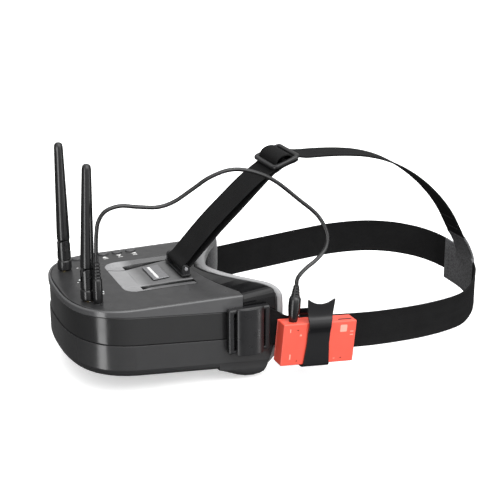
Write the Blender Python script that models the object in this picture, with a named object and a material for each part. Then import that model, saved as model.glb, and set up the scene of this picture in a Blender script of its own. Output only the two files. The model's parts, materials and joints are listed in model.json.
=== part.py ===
"""Box-style FPV goggles on a head harness, with a clip-on video recorder.

The goggles are drawn as worn: the wearer looks towards -Y, +X is the wearer's left, +Z is up.
Shapes are drawn in millimetres from a drawing datum: x from the mid-plane, y back from the line
halfway between the housing's front corners, z up from the rim of the top cover. Everything is then
moved so that the model's origin is the middle of the face opening, where the foam meets the face.
"""

import math

import bmesh
import bpy
from mathutils import Matrix, Vector

MM = 0.001
FACE_CENTRE = Vector((0.0, 80.0, -30.0))
GAP = 0.3

# Housing
HALF_WIDTH = 70.6
SIDE_FLARE = 0.026
CORNER_START_Y = -10.0
FRONT_DEPTH = 57.3
CORNER_POWER = 2.8
WALL = 2.4
SEAM_TILT = 0.08
SEAM_LEVEL_Y = -38.0
UPPER_SEAM_Z = -8.3
LOWER_SEAM_Z = -31.35
BASE_Z = -58.3
BASE_TILT = 0.077
BAND_REAR_Y = 64.0
BAND_INSET = 0.8
RIM_INSET = 2.2
LEDGE_INSET = 4.2
COVER_THICKNESS = 2.4
COVER_CROWN = 1.3

# Face opening
BROW_Y = 62.0
TEMPLE_SWEEP = 35.5
TEMPLE_X = 70.0
SWEEP_POWER = 1.5
BROW_FOAM = 9.0
TEMPLE_FOAM = 5.0
FOAM_WIDTH = 11.0
CARRIER_THICKNESS = 2.0
HOOD_SHOULDER_X = 64.0
HOOD_RISE = 2.6
CHEEK_START_Z = -25.0
CHEEK_LEAN = 4.6
FACE_OUTLINE = (
    (0, 1.8), (30, 2.6), (52, 3.6), (65, 2.8), (71.2, -2.8), (72.5, -12), (72.3, -38),
    (71.2, -54), (66.5, -65), (58, -69.5), (47, -68.0), (37, -62), (26, -57), (13, -54.5),
    (0, -53.5),
)

# Controls and sockets
ANTENNA_X = 36.3
ANTENNA_Y = -49.7
ANTENNA_HEIGHT = 108.0
TILT_PIN_Z = 21.1
KNUCKLE_RADIUS = 5.6
LEFT_WHIP_LEAN = math.radians(2.2)
AV_SOCKET = (46.0, -44.5)
BUTTONS = ((-57.6, -34.0), (-61.0, -22.0), (-61.5, -10.0), (-61.5, 2.0), (-61.5, 14.0))
BUTTON_HALF = (3.2, 4.4)
BUTTON_TRAVEL = 0.8
LIGHTS = ((-7.0, -45.0), (26.0, -35.0))
SCREW_POSTS = ((20.0, -57.8), (-20.0, -57.8), (60.0, 24.0), (-60.0, 24.0))
SCREW_RECESS = 1.5

# Centre panel of the cover
PANEL_HALF_WIDTH = 36.0
PANEL_FRONT_Y = -18.7
PANEL_REAR_Y = 39.7

# Harness
WEBBING_WIDTH = 30.0
WEBBING_THICKNESS = 1.8
CROWN_FRONT_WIDTH = 34.0
CROWN_REAR_WIDTH = 27.5
CROWN_THICKNESS = 1.5
ANCHOR_Y = (49.5, 84.5)
ANCHOR_Z = (-45.5, -8.5)
ANCHOR_INNER_X = 72.9
ANCHOR_BAR_X = 76.0
ANCHOR_OUTER_X = 79.6
BRACKET_PIN = (36.0, 8.2)
GLIDE_CENTRE = (0.0, 123.5, 88.0)
GLIDE_PITCH = math.radians(20.0)

# Recorder and its lead
RECORDER_SIZE = (14.0, 64.0, 35.0)
RECORDER_CENTRE = Vector((85.0, 121.0, -42.0))
RECORDER_PITCH = math.radians(-5.3)
RECORDER_WALL = 1.2
LEAD_RADIUS = 1.6

CHARCOAL = (0.045, 0.045, 0.048)
BLACK = (0.012, 0.012, 0.013)


# --- solids ---------------------------------------------------------------------------------


def loft(rings, closed=False):
    """A body through rings of equal length, capped at both ends unless the last meets the first."""
    bm = bmesh.new()
    loops = [[bm.verts.new(point) for point in ring] for ring in rings]
    following = loops[1:] + (loops[:1] if closed else [])
    for first, second in zip(loops, following):
        count = len(first)
        for i in range(count):
            j = (i + 1) % count
            bm.faces.new((first[i], first[j], second[j], second[i]))
    if not closed:
        bm.faces.new(reversed(loops[0]))
        bm.faces.new(loops[-1])
    bmesh.ops.recalc_face_normals(bm, faces=bm.faces)
    return bm


def prism(outline, low, high, axis="Z"):
    """An outline in the plane across an axis, extruded along it from low to high."""
    order = {"Z": lambda a, b, h: (a, b, h), "X": lambda a, b, h: (h, a, b),
             "Y": lambda a, b, h: (a, h, b)}[axis]
    return loft([[order(a, b, h) for a, b in outline] for h in (low, high)])


def box(low, high, bevel=0.0, segments=2):
    """An upright box between two corners, with every edge rounded by the bevel."""
    size = Vector(high) - Vector(low)
    centre = (Vector(high) + Vector(low)) / 2
    bm = bmesh.new()
    placed = Matrix.Translation(centre) @ Matrix.Diagonal((*size, 1.0))
    bmesh.ops.create_cube(bm, size=1.0, matrix=placed)
    if bevel:
        bmesh.ops.bevel(bm, geom=list(bm.edges), offset=bevel, segments=segments, profile=0.5,
                        affect="EDGES", clamp_overlap=True)
    return bm


def ellipse(half_x, half_y, count, centre=(0.0, 0.0), start=0.0):
    """Points round an ellipse in the plane."""
    angles = [start + math.tau * i / count for i in range(count)]
    return [(centre[0] + half_x * math.cos(a), centre[1] + half_y * math.sin(a)) for a in angles]


def turned(profile, centre, count=24, scale=(1.0, 1.0)):
    """An upright turned body from (radius, height) pairs, rising from the first to the last."""
    return loft([
        [(x, y, centre[2] + height) for x, y in
         ellipse(radius * scale[0], radius * scale[1], count, centre)]
        for radius, height in profile
    ])


def moved(bm, matrix):
    """The same body after a move or turn."""
    bmesh.ops.transform(bm, matrix=matrix, verts=bm.verts)
    if matrix.determinant() < 0:
        bmesh.ops.reverse_faces(bm, faces=bm.faces)
    return bm


def mirrored(bm):
    """The same body on the other side of the mid-plane."""
    return moved(bm, Matrix.Diagonal((-1.0, 1.0, 1.0, 1.0)))


def rod(radius, start, end, count=16):
    """A round bar between two points."""
    along = Vector(end) - Vector(start)
    turn = along.to_track_quat("Z", "Y").to_matrix().to_4x4()
    bm = turned(((radius, 0.0), (radius, along.length)), (0, 0, 0), count)
    return moved(bm, Matrix.Translation(start) @ turn)


def temporary(bm, name):
    mesh = bpy.data.meshes.new(name)
    bm.to_mesh(mesh)
    bm.free()
    obj = bpy.data.objects.new(name, mesh)
    bpy.context.scene.collection.objects.link(obj)
    return obj


def combined(operation, body, *tools):
    """The body cut by, joined with or kept inside each tool in turn."""
    target = temporary(body, "target")
    for tool in tools:
        cutter = temporary(tool, "tool")
        modifier = target.modifiers.new("combine", "BOOLEAN")
        modifier.operation = operation
        modifier.solver = "EXACT"
        modifier.object = cutter
        graph = bpy.context.evaluated_depsgraph_get()
        result = bpy.data.meshes.new_from_object(target.evaluated_get(graph))
        target.modifiers.clear()
        target.data = result
        bpy.data.objects.remove(cutter)
    bm = bmesh.new()
    bm.from_mesh(target.data)
    bpy.data.objects.remove(target)
    return bm


def cut(body, *tools):
    return combined("DIFFERENCE", body, *tools)


def joined(body, *tools):
    return combined("UNION", body, *tools)


def kept_inside(body, *tools):
    return combined("INTERSECT", body, *tools)


# --- curves ---------------------------------------------------------------------------------


def smooth_path(points, per_span, closed=False):
    """Points along a smooth curve through the given ones."""
    points = [Vector(p) for p in points]
    if closed:
        padded = [points[-1], *points, points[0], points[1]]
    else:
        padded = [2 * points[0] - points[1], *points, 2 * points[-1] - points[-2]]
    path = []
    for a, b, c, d in zip(padded, padded[1:], padded[2:], padded[3:]):
        for step in range(per_span):
            t = step / per_span
            path.append(0.5 * (2 * b + (c - a) * t + (2 * a - 5 * b + 4 * c - d) * t * t
                               + (3 * b - a - 3 * c + d) * t ** 3))
    return path if closed else [*path, points[-1]]


def tangents(path, closed=False):
    count = len(path)
    found = []
    for i in range(count):
        before = path[(i - 1) % count] if closed or i else path[0]
        after = path[(i + 1) % count] if closed or i < count - 1 else path[-1]
        found.append((after - before).normalized())
    return found


def ribbon(path, across, width, thickness, offset=0.0):
    """A strap along a path, lying across the given direction. The width is one number, or a
    function that gives it at each point."""
    rings = []
    for point, along in zip(path, tangents(path)):
        face = along.cross(across).normalized()
        middle = point + across * offset
        half = (width(point) if callable(width) else width) / 2
        rings.append([
            middle + across * (u * half) + face * (v * thickness / 2)
            for u, v in ((1, 1), (-1, 1), (-1, -1), (1, -1))
        ])
    return loft(rings)


# --- nodes ----------------------------------------------------------------------------------


def to_model(point):
    return (Vector(point) - FACE_CENTRE) * MM


def material(name, colour, roughness, metallic, alpha):
    mat = bpy.data.materials.new(name)
    mat.use_nodes = True
    shader = mat.node_tree.nodes["Principled BSDF"]
    shader.inputs["Base Color"].default_value = (*colour, 1.0)
    shader.inputs["Roughness"].default_value = roughness
    shader.inputs["Metallic"].default_value = metallic
    shader.inputs["Alpha"].default_value = alpha
    return mat


def node(name, bm, colour=CHARCOAL, roughness=0.45, metallic=0.0, alpha=1.0, pivot=None,
         smooth_angle=35.0):
    """One named piece. A moving piece has its origin at its pivot, on its joint's axis."""
    origin = to_model(pivot) if pivot else Vector()
    for vertex in bm.verts:
        vertex.co = to_model(vertex.co) - origin
    mesh = bpy.data.meshes.new(name)
    bm.to_mesh(mesh)
    bm.free()
    mesh.polygons.foreach_set("use_smooth", [True] * len(mesh.polygons))
    mesh.set_sharp_from_angle(angle=math.radians(smooth_angle))
    mesh.materials.append(material(name, colour, roughness, metallic, alpha))
    obj = bpy.data.objects.new(name, mesh)
    obj.location = origin
    bpy.context.scene.collection.objects.link(obj)
    return obj


for leftover in list(bpy.data.objects):
    bpy.data.objects.remove(leftover)

X_AXIS = Vector((1, 0, 0))
Z_AXIS = Vector((0, 0, 1))


# --- housing --------------------------------------------------------------------------------


def side_x(y):
    return HALF_WIDTH + SIDE_FLARE * y


def upper_seam(y):
    """The seam below the upper band, level across the front and falling towards the rear."""
    return UPPER_SEAM_Z - SEAM_TILT * max(y, SEAM_LEVEL_Y)


def lower_seam(y):
    return LOWER_SEAM_Z - SEAM_TILT * y


def base_level(y):
    return BASE_Z - BASE_TILT * y


def half_outline(inset, rear_y, arc_steps=13):
    """The housing's plan from the rear of the left side to the middle of the front."""
    corner_x = side_x(CORNER_START_Y) - inset
    depth = FRONT_DEPTH - inset
    points = []
    for i in range(4):
        y = rear_y + (CORNER_START_Y - rear_y) * i / 4
        points.append((side_x(y) - inset, y))
    for i in range(arc_steps + 1):
        angle = math.pi / 2 * i / arc_steps
        x = corner_x * math.cos(angle) ** (2 / CORNER_POWER) if i < arc_steps else 0.0
        points.append((x, CORNER_START_Y - depth * math.sin(angle) ** (2 / CORNER_POWER)))
    return points


def outline(inset, rear_y):
    """The housing's plan, from the rear of the left side round the front to the right side."""
    half = half_outline(inset, rear_y)
    return half + [(-x, y) for x, y in reversed(half[:-1])]


def band(profile, rear_y):
    """A wall that follows the housing's sides and front. The profile is (inset, height at y)."""
    plans = {inset: outline(inset, rear_y) for inset, _ in profile}
    count = len(outline(0, rear_y))
    return loft([
        [(*plans[inset][i], height(plans[inset][i][1])) for inset, height in profile]
        for i in range(count)
    ])


def level(z):
    return lambda y: z


upper_band = band([
    (0.0, lambda y: upper_seam(y) + GAP / 2),
    (0.0, level(-1.3)),
    (0.4, level(-0.4)),
    (1.2, level(0.0)),
    (RIM_INSET, level(0.0)),
    (RIM_INSET, level(-COVER_THICKNESS - GAP)),
    (LEDGE_INSET, level(-COVER_THICKNESS - GAP)),
    (LEDGE_INSET, level(-3.9)),
    (WALL, level(-4.1)),
    (WALL, lambda y: upper_seam(y) + GAP / 2),
], BAND_REAR_Y)
node("upper_band", upper_band, (0.085, 0.085, 0.09), 0.42)

middle_band = band([
    (BAND_INSET, lambda y: lower_seam(y) + GAP / 2),
    (BAND_INSET, lambda y: upper_seam(y) - GAP / 2),
    (BAND_INSET + WALL, lambda y: upper_seam(y) - GAP / 2),
    (BAND_INSET + WALL, lambda y: lower_seam(y) + GAP / 2),
], BAND_REAR_Y)
node("middle_band", middle_band, (0.04, 0.04, 0.042), 0.5)


# --- face opening ---------------------------------------------------------------------------


def face_y(x):
    """How far back the foam's face is at a distance from the mid-plane."""
    return BROW_Y + TEMPLE_SWEEP * (abs(x) / TEMPLE_X) ** SWEEP_POWER


def foam_thickness(x):
    """The foam is thickest over the brow and nose and thinnest at the temples."""
    return BROW_FOAM + (TEMPLE_FOAM - BROW_FOAM) * min(1.0, abs(x) / TEMPLE_X) ** 2


def cheek_lean(z):
    """How much further forward the opening sits, low down on the cheeks."""
    return CHEEK_LEAN * max(0.0, (CHEEK_START_Z - z) / 30.0) ** 2


def carrier_front_y(x, z=0.0):
    return face_y(x) - foam_thickness(x) - CARRIER_THICKNESS - 2 * GAP - cheek_lean(z)


def hood_front_y(x):
    """The line where the cover ends and the hood begins."""
    return 46.5 + 17.8 * min(1.0, abs(x) / HOOD_SHOULDER_X) ** 2 + GAP


def behind(front, reach=150.0):
    """A block that holds everything behind a line across the goggles, leaning at the cheeks."""
    xs = [-95 + 5 * i for i in range(39)]
    rings = []
    for z in (60.0, CHEEK_START_Z, -33.0, -41.0, -49.0, -57.0, -65.0, -73.0, -82.0):
        line = [(x, front(x) - cheek_lean(z), z) for x in xs]
        rings.append(line + [(95, reach, z), (-95, reach, z)])
    return loft(rings)


def half_to_full(points):
    return list(points) + [(-x, z) for x, z in reversed(points[1:-1])]


FACE_LOOP = smooth_path([(x, 0, z) for x, z in half_to_full(FACE_OUTLINE)], 2, closed=True)


def inward(loop):
    """The unit direction towards the inside of the face opening at each point of its outline."""
    return [Vector((t.z, 0, -t.x)) for t in tangents(loop, closed=True)]


def face_ring(profile):
    """A ring round the face opening. The profile is (distance inwards, distance behind the
    carrier's front, share of the foam's thickness to add to it)."""
    directions = inward(FACE_LOOP)
    sign = 1 if directions[0].z < 0 else -1
    rings = []
    for point, direction in zip(FACE_LOOP, directions):
        ring = []
        for distance, back, share in profile:
            place = point + direction * (sign * distance)
            depth = back + share * foam_thickness(place.x)
            ring.append((place.x, carrier_front_y(place.x, place.z) + depth, place.z))
        rings.append(ring)
    return loft(rings, closed=True)


node("foam_carrier", face_ring([
    (0.4, 2 * GAP, 0), (0.4, CARRIER_THICKNESS, 0), (FOAM_WIDTH, CARRIER_THICKNESS, 0),
    (FOAM_WIDTH, 2 * GAP, 0),
]), BLACK, 0.5)
foam_front = CARRIER_THICKNESS + GAP
node("face_foam", face_ring([
    (0.0, foam_front, 0.0), (-0.5, foam_front, 0.3), (-0.2, foam_front, 0.7),
    (1.6, foam_front, 0.93), (4.5, foam_front, 1.0), (8.2, foam_front, 1.0),
    (10.8, foam_front, 0.75), (FOAM_WIDTH, foam_front, 0.0),
]), (0.42, 0.42, 0.43), 0.9, smooth_angle=60)


def hood_path():
    """The hood's outer outline seen from behind, from the left seam over the brow to the right."""
    half = [(72.3, -35.6), (72.3, -24), (72.3, -13), (72.1, -6), (70.9, -1.9), (67.4, -0.1),
            (60, 0.4), (45, 0.9), (22, 1.2), (0, 1.2)]
    return half + [(-x, z) for x, z in reversed(half[:-1])]


def hood_lift(point):
    """How far the hood's rear edge stands above its front edge, most at the shoulders."""
    above_side = min(1.0, max(0.0, (point.z + 13) / 11))
    return HOOD_RISE * above_side * min(1.0, abs(point.x) / 50) ** 2


def hood():
    path = smooth_path([(x, 0, z) for x, z in hood_path()], 2)
    rings = []
    for point, along in zip(path, tangents(path)):
        inner = point + Vector((-along.z, 0, along.x)) * WALL
        lift = hood_lift(point)
        front = hood_front_y(point.x)
        rings.append([
            (point.x, front, point.z),
            (point.x, carrier_front_y(point.x, point.z), point.z + lift),
            (inner.x, carrier_front_y(inner.x, inner.z), inner.z + lift),
            (inner.x, front, inner.z),
        ])
    return loft(rings)


node("face_hood", hood(), BLACK, 0.35)


# --- lower housing --------------------------------------------------------------------------


def tub(inset, floor, top_extra, rear_y, rounding):
    """A solid in the plan of the housing, from above the lower seam down to a rounded floor."""
    steps = ((0.0, None), (0.0, 1.0), (0.13, 0.5), (0.45, 0.15), (1.0, 0.0))
    rings = []
    for share, lift in steps:
        plan = outline(inset + share * rounding, rear_y)
        if lift is None:
            rings.append([(x, y, lower_seam(y) + top_extra) for x, y in plan])
        else:
            rings.append([(x, y, base_level(y) + floor + lift * rounding) for x, y in plan])
    return loft(list(reversed(rings)))


def cheek_pod(inset, rear_y):
    """The rounded lobe that hangs below the base in front of the left cheek."""
    depths = ((44.5, 0.5), (49, 3.0), (55, 6.0), (61, 8.7), (68, 10.6), (75, 10.6), (81, 9.4),
              (rear_y, 8.4))
    rings = []
    for y, depth in depths:
        y = y + inset if y < 50 else y
        outer = side_x(y) - 0.15 - inset
        inner = 34 + inset
        middle, half = (outer + inner) / 2, (outer - inner) / 2
        reach = max(depth - inset, 0.2)
        level_here = base_level(y) + 1.0
        ring = [(inner, y, level_here + 6), (outer, y, level_here + 6)]
        for i in range(13):
            angle = math.pi * i / 12
            x = middle + half * math.cos(angle)
            drop = (reach + 1.0) * math.sin(angle) ** 0.75
            ring.append((x, y, level_here - drop))
        rings.append(ring)
    return loft(rings)


SHELL_REAR_Y = 92.0
shell = tub(0.0, 0.0, -GAP / 2, SHELL_REAR_Y, 7.0)
POD_REAR_Y = SHELL_REAR_Y + 3.0
shell = joined(shell, cheek_pod(0.0, POD_REAR_Y), mirrored(cheek_pod(0.0, POD_REAR_Y)))
shell = cut(
    shell,
    behind(carrier_front_y),
    tub(WALL, WALL, 12.0, SHELL_REAR_Y + 20, 5.0),
    cheek_pod(WALL, POD_REAR_Y + 20),
    mirrored(cheek_pod(WALL, POD_REAR_Y + 20)),
    prism(ellipse(27, 30, 28, (0, 62)), -90, -44),
    *[rod(1.7, (x, y, -75), (x, y, -40)) for x, y in SCREW_POSTS],
    *[rod(3.2, (x, y, -80), (x, y, base_level(y) + SCREW_RECESS)) for x, y in SCREW_POSTS],
    rod(4.6, (-80, 12, -46), (-60, 12, -46), 20),
)
node("lower_housing", shell, CHARCOAL, 0.45)

for number, (x, y) in enumerate(SCREW_POSTS, 1):
    head = base_level(y) + SCREW_RECESS - GAP
    screw = turned(((2.2, -1.1), (2.8, -0.8), (2.8, 0.0), (1.3, 0.0), (1.3, 9.0)),
                   (x, y, head), 12)
    node(f"housing_screw_{number}", screw, (0.5, 0.5, 0.52), 0.35, 1.0)


# --- top cover and its panel ----------------------------------------------------------------


def cover_rise(x, y):
    """The cover's height above its rim, highest along the middle."""
    share = max(0.0, 1 - (abs(x) / 66) ** 2)
    return 0.2 + COVER_CROWN * share * min(1.0, max(0.0, (y + 62) / 30))


def cover_plate():
    """The crowned plate, as strips from front to rear between a left and a right edge."""
    inset = RIM_INSET + GAP
    half = half_outline(inset, BAND_REAR_Y)
    stations = sorted({round(y, 3): x for x, y in half}.items())
    shares = (1.0, 0.98, 0.8, 0.5, 0.25, 0.0)
    rings = []
    for y, x_edge in stations[1:]:
        across = [x_edge * s for s in shares] + [-x_edge * s for s in reversed(shares[:-1])]
        top = [(x, y, cover_rise(x, y) if abs(x) < 0.99 * x_edge else -0.25) for x in across]
        rings.append(top + [(-x_edge, y, -COVER_THICKNESS), (x_edge, y, -COVER_THICKNESS)])
    return loft(rings)


def panel_half_width(y):
    """The panel's half width, rounded off at its front corners."""
    from_front = y - PANEL_FRONT_Y
    radius = 11.0
    if from_front >= radius:
        return PANEL_HALF_WIDTH
    return PANEL_HALF_WIDTH - radius + math.sqrt(radius ** 2 - (radius - from_front) ** 2)


def panel_outline(grow):
    ys = (PANEL_FRONT_Y, -18.0, -16.5, -14, -11, -7.7, PANEL_REAR_Y)
    right = [(panel_half_width(y) + grow, y) for y in ys]
    right[0] = (right[0][0], right[0][1] - grow)
    right[-1] = (right[-1][0], right[-1][1] + grow)
    return right + [(-x, y) for x, y in reversed(right)]


def button_hole(x, y, grow):
    return prism(ellipse(BUTTON_HALF[0] + grow, BUTTON_HALF[1] + grow, 16, (x, y)), -6, 6)


cover = cut(
    cover_plate(),
    behind(lambda x: hood_front_y(x) - GAP),
    prism(panel_outline(GAP), -6, 6),
    *[button_hole(x, y, GAP) for x, y in BUTTONS],
    *[rod(3.5, (side * ANTENNA_X, ANTENNA_Y, -6), (side * ANTENNA_X, ANTENNA_Y, 6), 20)
      for side in (1, -1)],
    rod(3.9, (*AV_SOCKET, -6), (*AV_SOCKET, 6), 20),
    *[rod(1.3, (x, y, -6), (x, y, 6), 12) for x, y in LIGHTS],
)
posts = []
for x, y in SCREW_POSTS:
    foot = base_level(y) + WALL + 4.0
    posts.append(cut(
        turned(((2.7, 0.0), (2.7, -1.0 - foot)), (x, y, foot), 16),
        rod(1.6, (x, y, foot - 1), (x, y, foot + 12)),
    ))
node("top_cover", joined(cover, *posts), (0.06, 0.06, 0.063), 0.38)


def panel_block_top(y):
    """The height of the raised block behind the ramp."""
    return -0.9 + 2.7 * min(1.0, max(0.0, (y + 3.0) / 39.0))


def panel_ring(y):
    """A slice across the panel: rim, slot, block, slot, rim, then its flat underside."""
    half = panel_half_width(y)
    ramp = 1.1 - 2.0 * math.sin(min(1.0, (y - PANEL_FRONT_Y) / 15.0) * math.pi / 2)
    edge = 1.1 if y < -8 else 1.3
    block = ramp if y < -3 else panel_block_top(y)
    rim = ramp if y < -3 else min(0.3, ramp + (y + 3) * 0.15)
    floor = -4.2 if y > -3.2 else ramp
    slot_outer = half - 7.5
    slot_inner = min(slot_outer - 1.0, 20.0 + 5.5 * max(0.0, (y + 3) / 39.0))
    right = [
        (half, edge), (half - 1.2, edge - 0.35 if y > -17 else edge - 0.1), (slot_outer, rim),
        (slot_outer - 0.2, floor), (slot_inner + 0.2, floor), (slot_inner, block - 0.5),
        (slot_inner - 1.0, block), (0.0, block + 0.3 if y > -3 else block),
    ]
    left = [(-x, z) for x, z in reversed(right[:-1])]
    return [(x, y, z) for x, z in right + left] + [(-half, y, -6.2), (half, y, -6.2)]


panel_stations = (PANEL_FRONT_Y, -18.0, -16.5, -14.0, -11.0, -7.7, -5.2, -3.3, -2.7, 3.0, 12.0,
                  22.0, 32.0, PANEL_REAR_Y)
node("centre_panel", loft([panel_ring(y) for y in panel_stations]), (0.16, 0.16, 0.165), 0.3)

label_ys = (10.0, 23.0)
node("label_plate", loft([
    [(x, y, panel_block_top(y) + lift) for x, lift in
     ((15, 0.6), (15, 1.2), (-15, 1.2), (-15, 0.6))]
    for y in label_ys
]), (0.3, 0.3, 0.31), 0.25, 0.6)


# --- crown strap bracket --------------------------------------------------------------------

POST_INNER_X = 17.7
POST_OUTER_X = 20.9
POST_RADIUS = 2.9
bracket_foot = panel_block_top(BRACKET_PIN[0]) + 0.75
bracket_posts = []
for side in (1, -1):
    inner, outer = side * POST_INNER_X, side * POST_OUTER_X
    post = joined(
        box((min(inner, outer), BRACKET_PIN[0] - POST_RADIUS, bracket_foot + 0.5),
            (max(inner, outer), BRACKET_PIN[0] + POST_RADIUS, BRACKET_PIN[1])),
        rod(POST_RADIUS, (inner, *BRACKET_PIN), (outer, *BRACKET_PIN), 20),
    )
    bracket_posts.append(post)
bracket = joined(box((-21.5, 32.0, bracket_foot), (21.5, 39.6, bracket_foot + 1.2)), *bracket_posts)
bracket = cut(bracket, rod(1.8, (-24, *BRACKET_PIN), (24, *BRACKET_PIN)))
node("strap_bracket", bracket, (0.09, 0.09, 0.095), 0.35)
node("bracket_pin", rod(1.5, (-20.7, *BRACKET_PIN), (20.7, *BRACKET_PIN)), (0.45, 0.45, 0.47),
     0.3, 1.0)


# --- optics and electronics -----------------------------------------------------------------

lens_frame = cut(
    box((-66, 30, -54), (66, 32.4, -9), 0.6, 1),
    box((-58, 28, -48.5), (58, 34, -14.5)),
)
node("lens_frame", lens_frame, BLACK, 0.6)
node("fresnel_lens", box((-61, 32.7, -50.5), (61, 34.7, -12.5), 0.4, 1), (0.75, 0.8, 0.82), 0.05,
     0.0, 0.35)
node("display_panel", box((-31, -42, -48.2), (31, -38.6, -14.6), 0.3, 1), (0.02, 0.02, 0.03), 0.15)
display_frame = cut(
    box((-48, -38.3, -48.6), (48, -36.3, -14.4), 0.4, 1),
    box((-29, -40, -46.4), (29, -35, -16.4)),
)
node("display_frame", display_frame, BLACK, 0.6)
node("battery_pack", box((-34, -54.6, -45.0), (34, -45.6, -16.0), 1.2), (0.12, 0.16, 0.4), 0.5)

BOARD_TOP_Z = -11.9
board_outline = [(42, -55), (54, -46), (61, -35), (64, -24), (64, 18), (-64, 18), (-64, -24),
                 (-61, -35), (-54, -46), (-42, -55)]
board = prism(board_outline, BOARD_TOP_Z - 1.6, BOARD_TOP_Z)
board_parts = [box((x - 3, y - 3, BOARD_TOP_Z - 0.5), (x + 3, y + 3, BOARD_TOP_Z + 3.0))
               for x, y in BUTTONS]
board_parts += [box((-20, -24, BOARD_TOP_Z - 0.5), (-6, -10, BOARD_TOP_Z + 1.4)),
                box((8, -40, BOARD_TOP_Z - 0.5), (34, -18, BOARD_TOP_Z + 2.6)),
                box((-36, -40, BOARD_TOP_Z - 0.5), (-10, -28, BOARD_TOP_Z + 2.6))]
node("main_board", joined(board, *board_parts), (0.02, 0.14, 0.06), 0.5)

for number, (x, y) in enumerate(BUTTONS, 1):
    top = cover_rise(x, y)
    profile = ((0.5, -8.0), (0.5, -top - 4.2), (1.28, -top - 4.2), (1.28, -top - 3.2),
               (1.0, -top - 3.2), (1.0, 0.7), (0.93, 1.1), (0.7, 1.4), (0.3, 1.55))
    rings = [[(px, py, height + top) for px, py in
              ellipse(BUTTON_HALF[0] * share, BUTTON_HALF[1] * share, 16, (x, y))]
             for share, height in profile]
    node(f"menu_button_{number}", loft(rings), (0.1, 0.1, 0.105), 0.3, pivot=(x, y, top))

for number, (x, y) in enumerate(LIGHTS, 1):
    top = cover_rise(x, y)
    node(f"status_light_{number}", turned(((0.95, -8.4), (0.95, top + 0.1), (0.6, top + 0.4)),
                                          (x, y, 0), 12), (0.8, 0.85, 0.85), 0.2)

av_jack = cut(
    joined(box((AV_SOCKET[0] - 4.5, AV_SOCKET[1] - 4.5, BOARD_TOP_Z + GAP),
               (AV_SOCKET[0] + 4.5, AV_SOCKET[1] + 4.5, -3.0)),
           rod(3.5, (*AV_SOCKET, -4), (*AV_SOCKET, 1.0), 20)),
    rod(2.0, (*AV_SOCKET, -10.6), (*AV_SOCKET, 3), 16),
)
node("av_jack", av_jack, BLACK, 0.4)

power_jack = cut(
    joined(box((-67.3, 6.5, -51), (-57, 17.5, -40.5)), rod(4.2, (-71.6, 12, -46), (-66, 12, -46), 20)),
    rod(3.1, (-74, 12, -46), (-61, 12, -46), 20),
)
node("power_jack", power_jack, BLACK, 0.4)


# --- antennas -------------------------------------------------------------------------------


def round_ended(x, half_x, radius, flat_z):
    """A slab across the tilt pin, round about the pin and reaching straight to a flat end."""
    up = 1 if flat_z < TILT_PIN_Z else -1
    arc = [(ANTENNA_Y + radius * math.cos(math.pi * i / 14),
            TILT_PIN_Z + up * radius * math.sin(math.pi * i / 14)) for i in range(15)]
    ends = [(ANTENNA_Y - radius, flat_z), (ANTENNA_Y + radius, flat_z)]
    return prism(arc + ends, x - half_x, x + half_x, "X")


def antenna_base(x):
    """The nut and forked knuckle that turn on the socket."""
    centre = (x, ANTENNA_Y, 0)
    hinge = (ANTENNA_Y, TILT_PIN_Z)
    fork = kept_inside(
        round_ended(x, 6.0, KNUCKLE_RADIUS, 10.8),
        turned(((KNUCKLE_RADIUS - 0.02, 10), (KNUCKLE_RADIUS - 0.02, 30)), centre, 26),
    )
    nut = turned(((5.3, 1.4), (5.9, 2.0), (5.9, 8.6), (5.3, 9.3), (5.0, 9.6), (5.0, 10.6),
                  (KNUCKLE_RADIUS, 11.0), (KNUCKLE_RADIUS, 12.0)), centre, 14)
    return cut(
        joined(nut, fork),
        rod(3.4, (x, ANTENNA_Y, 0), (x, ANTENNA_Y, 9.0), 20),
        box((x - 2.7, ANTENNA_Y - 8, TILT_PIN_Z - 4.9), (x + 2.7, ANTENNA_Y + 8, 40)),
        rod(1.65, (x - 8, *hinge), (x + 8, *hinge), 16),
    )


def antenna_whip(x, lean):
    """The tongue, its pin and the tapered whip above them, leaning back about the pin."""
    centre = (x, ANTENNA_Y, 0)
    hinge = (ANTENNA_Y, TILT_PIN_Z)
    shoulder = TILT_PIN_Z + KNUCKLE_RADIUS + 0.35
    whip = turned(((4.9, shoulder), (5.3, shoulder + 0.7), (5.3, shoulder + 5.0), (5.0, 46),
                   (4.3, 78), (3.75, 100), (3.6, 104.5), (3.1, 106.8), (1.9, ANTENNA_HEIGHT - 0.2),
                   (0.6, ANTENNA_HEIGHT)), centre, 18)
    whole = joined(
        whip,
        round_ended(x, 2.4, 4.5, shoulder + 2),
        rod(1.5, (x - 5.0, *hinge), (x + 5.0, *hinge), 16),
    )
    to_pin = Matrix.Translation((x, *hinge))
    return moved(whole, to_pin @ Matrix.Rotation(-lean, 4, "X") @ to_pin.inverted())


for side, sign, lean in (("left", 1, LEFT_WHIP_LEAN), ("right", -1, 0.0)):
    x = sign * ANTENNA_X
    socket = joined(
        box((x - 4.2, ANTENNA_Y - 4.2, BOARD_TOP_Z + GAP), (x + 4.2, ANTENNA_Y + 4.2, -4.0)),
        rod(3.1, (x, ANTENNA_Y, -5), (x, ANTENNA_Y, 8.4), 20),
    )
    node(f"antenna_socket_{side}", socket, (0.75, 0.6, 0.25), 0.3, 1.0)
    node(f"antenna_base_{side}", antenna_base(x), BLACK, 0.4, pivot=(x, ANTENNA_Y, TILT_PIN_Z))
    node(f"antenna_whip_{side}", antenna_whip(x, lean), BLACK, 0.45, pivot=(x, ANTENNA_Y, TILT_PIN_Z))


# --- side straps and their anchors ----------------------------------------------------------


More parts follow.
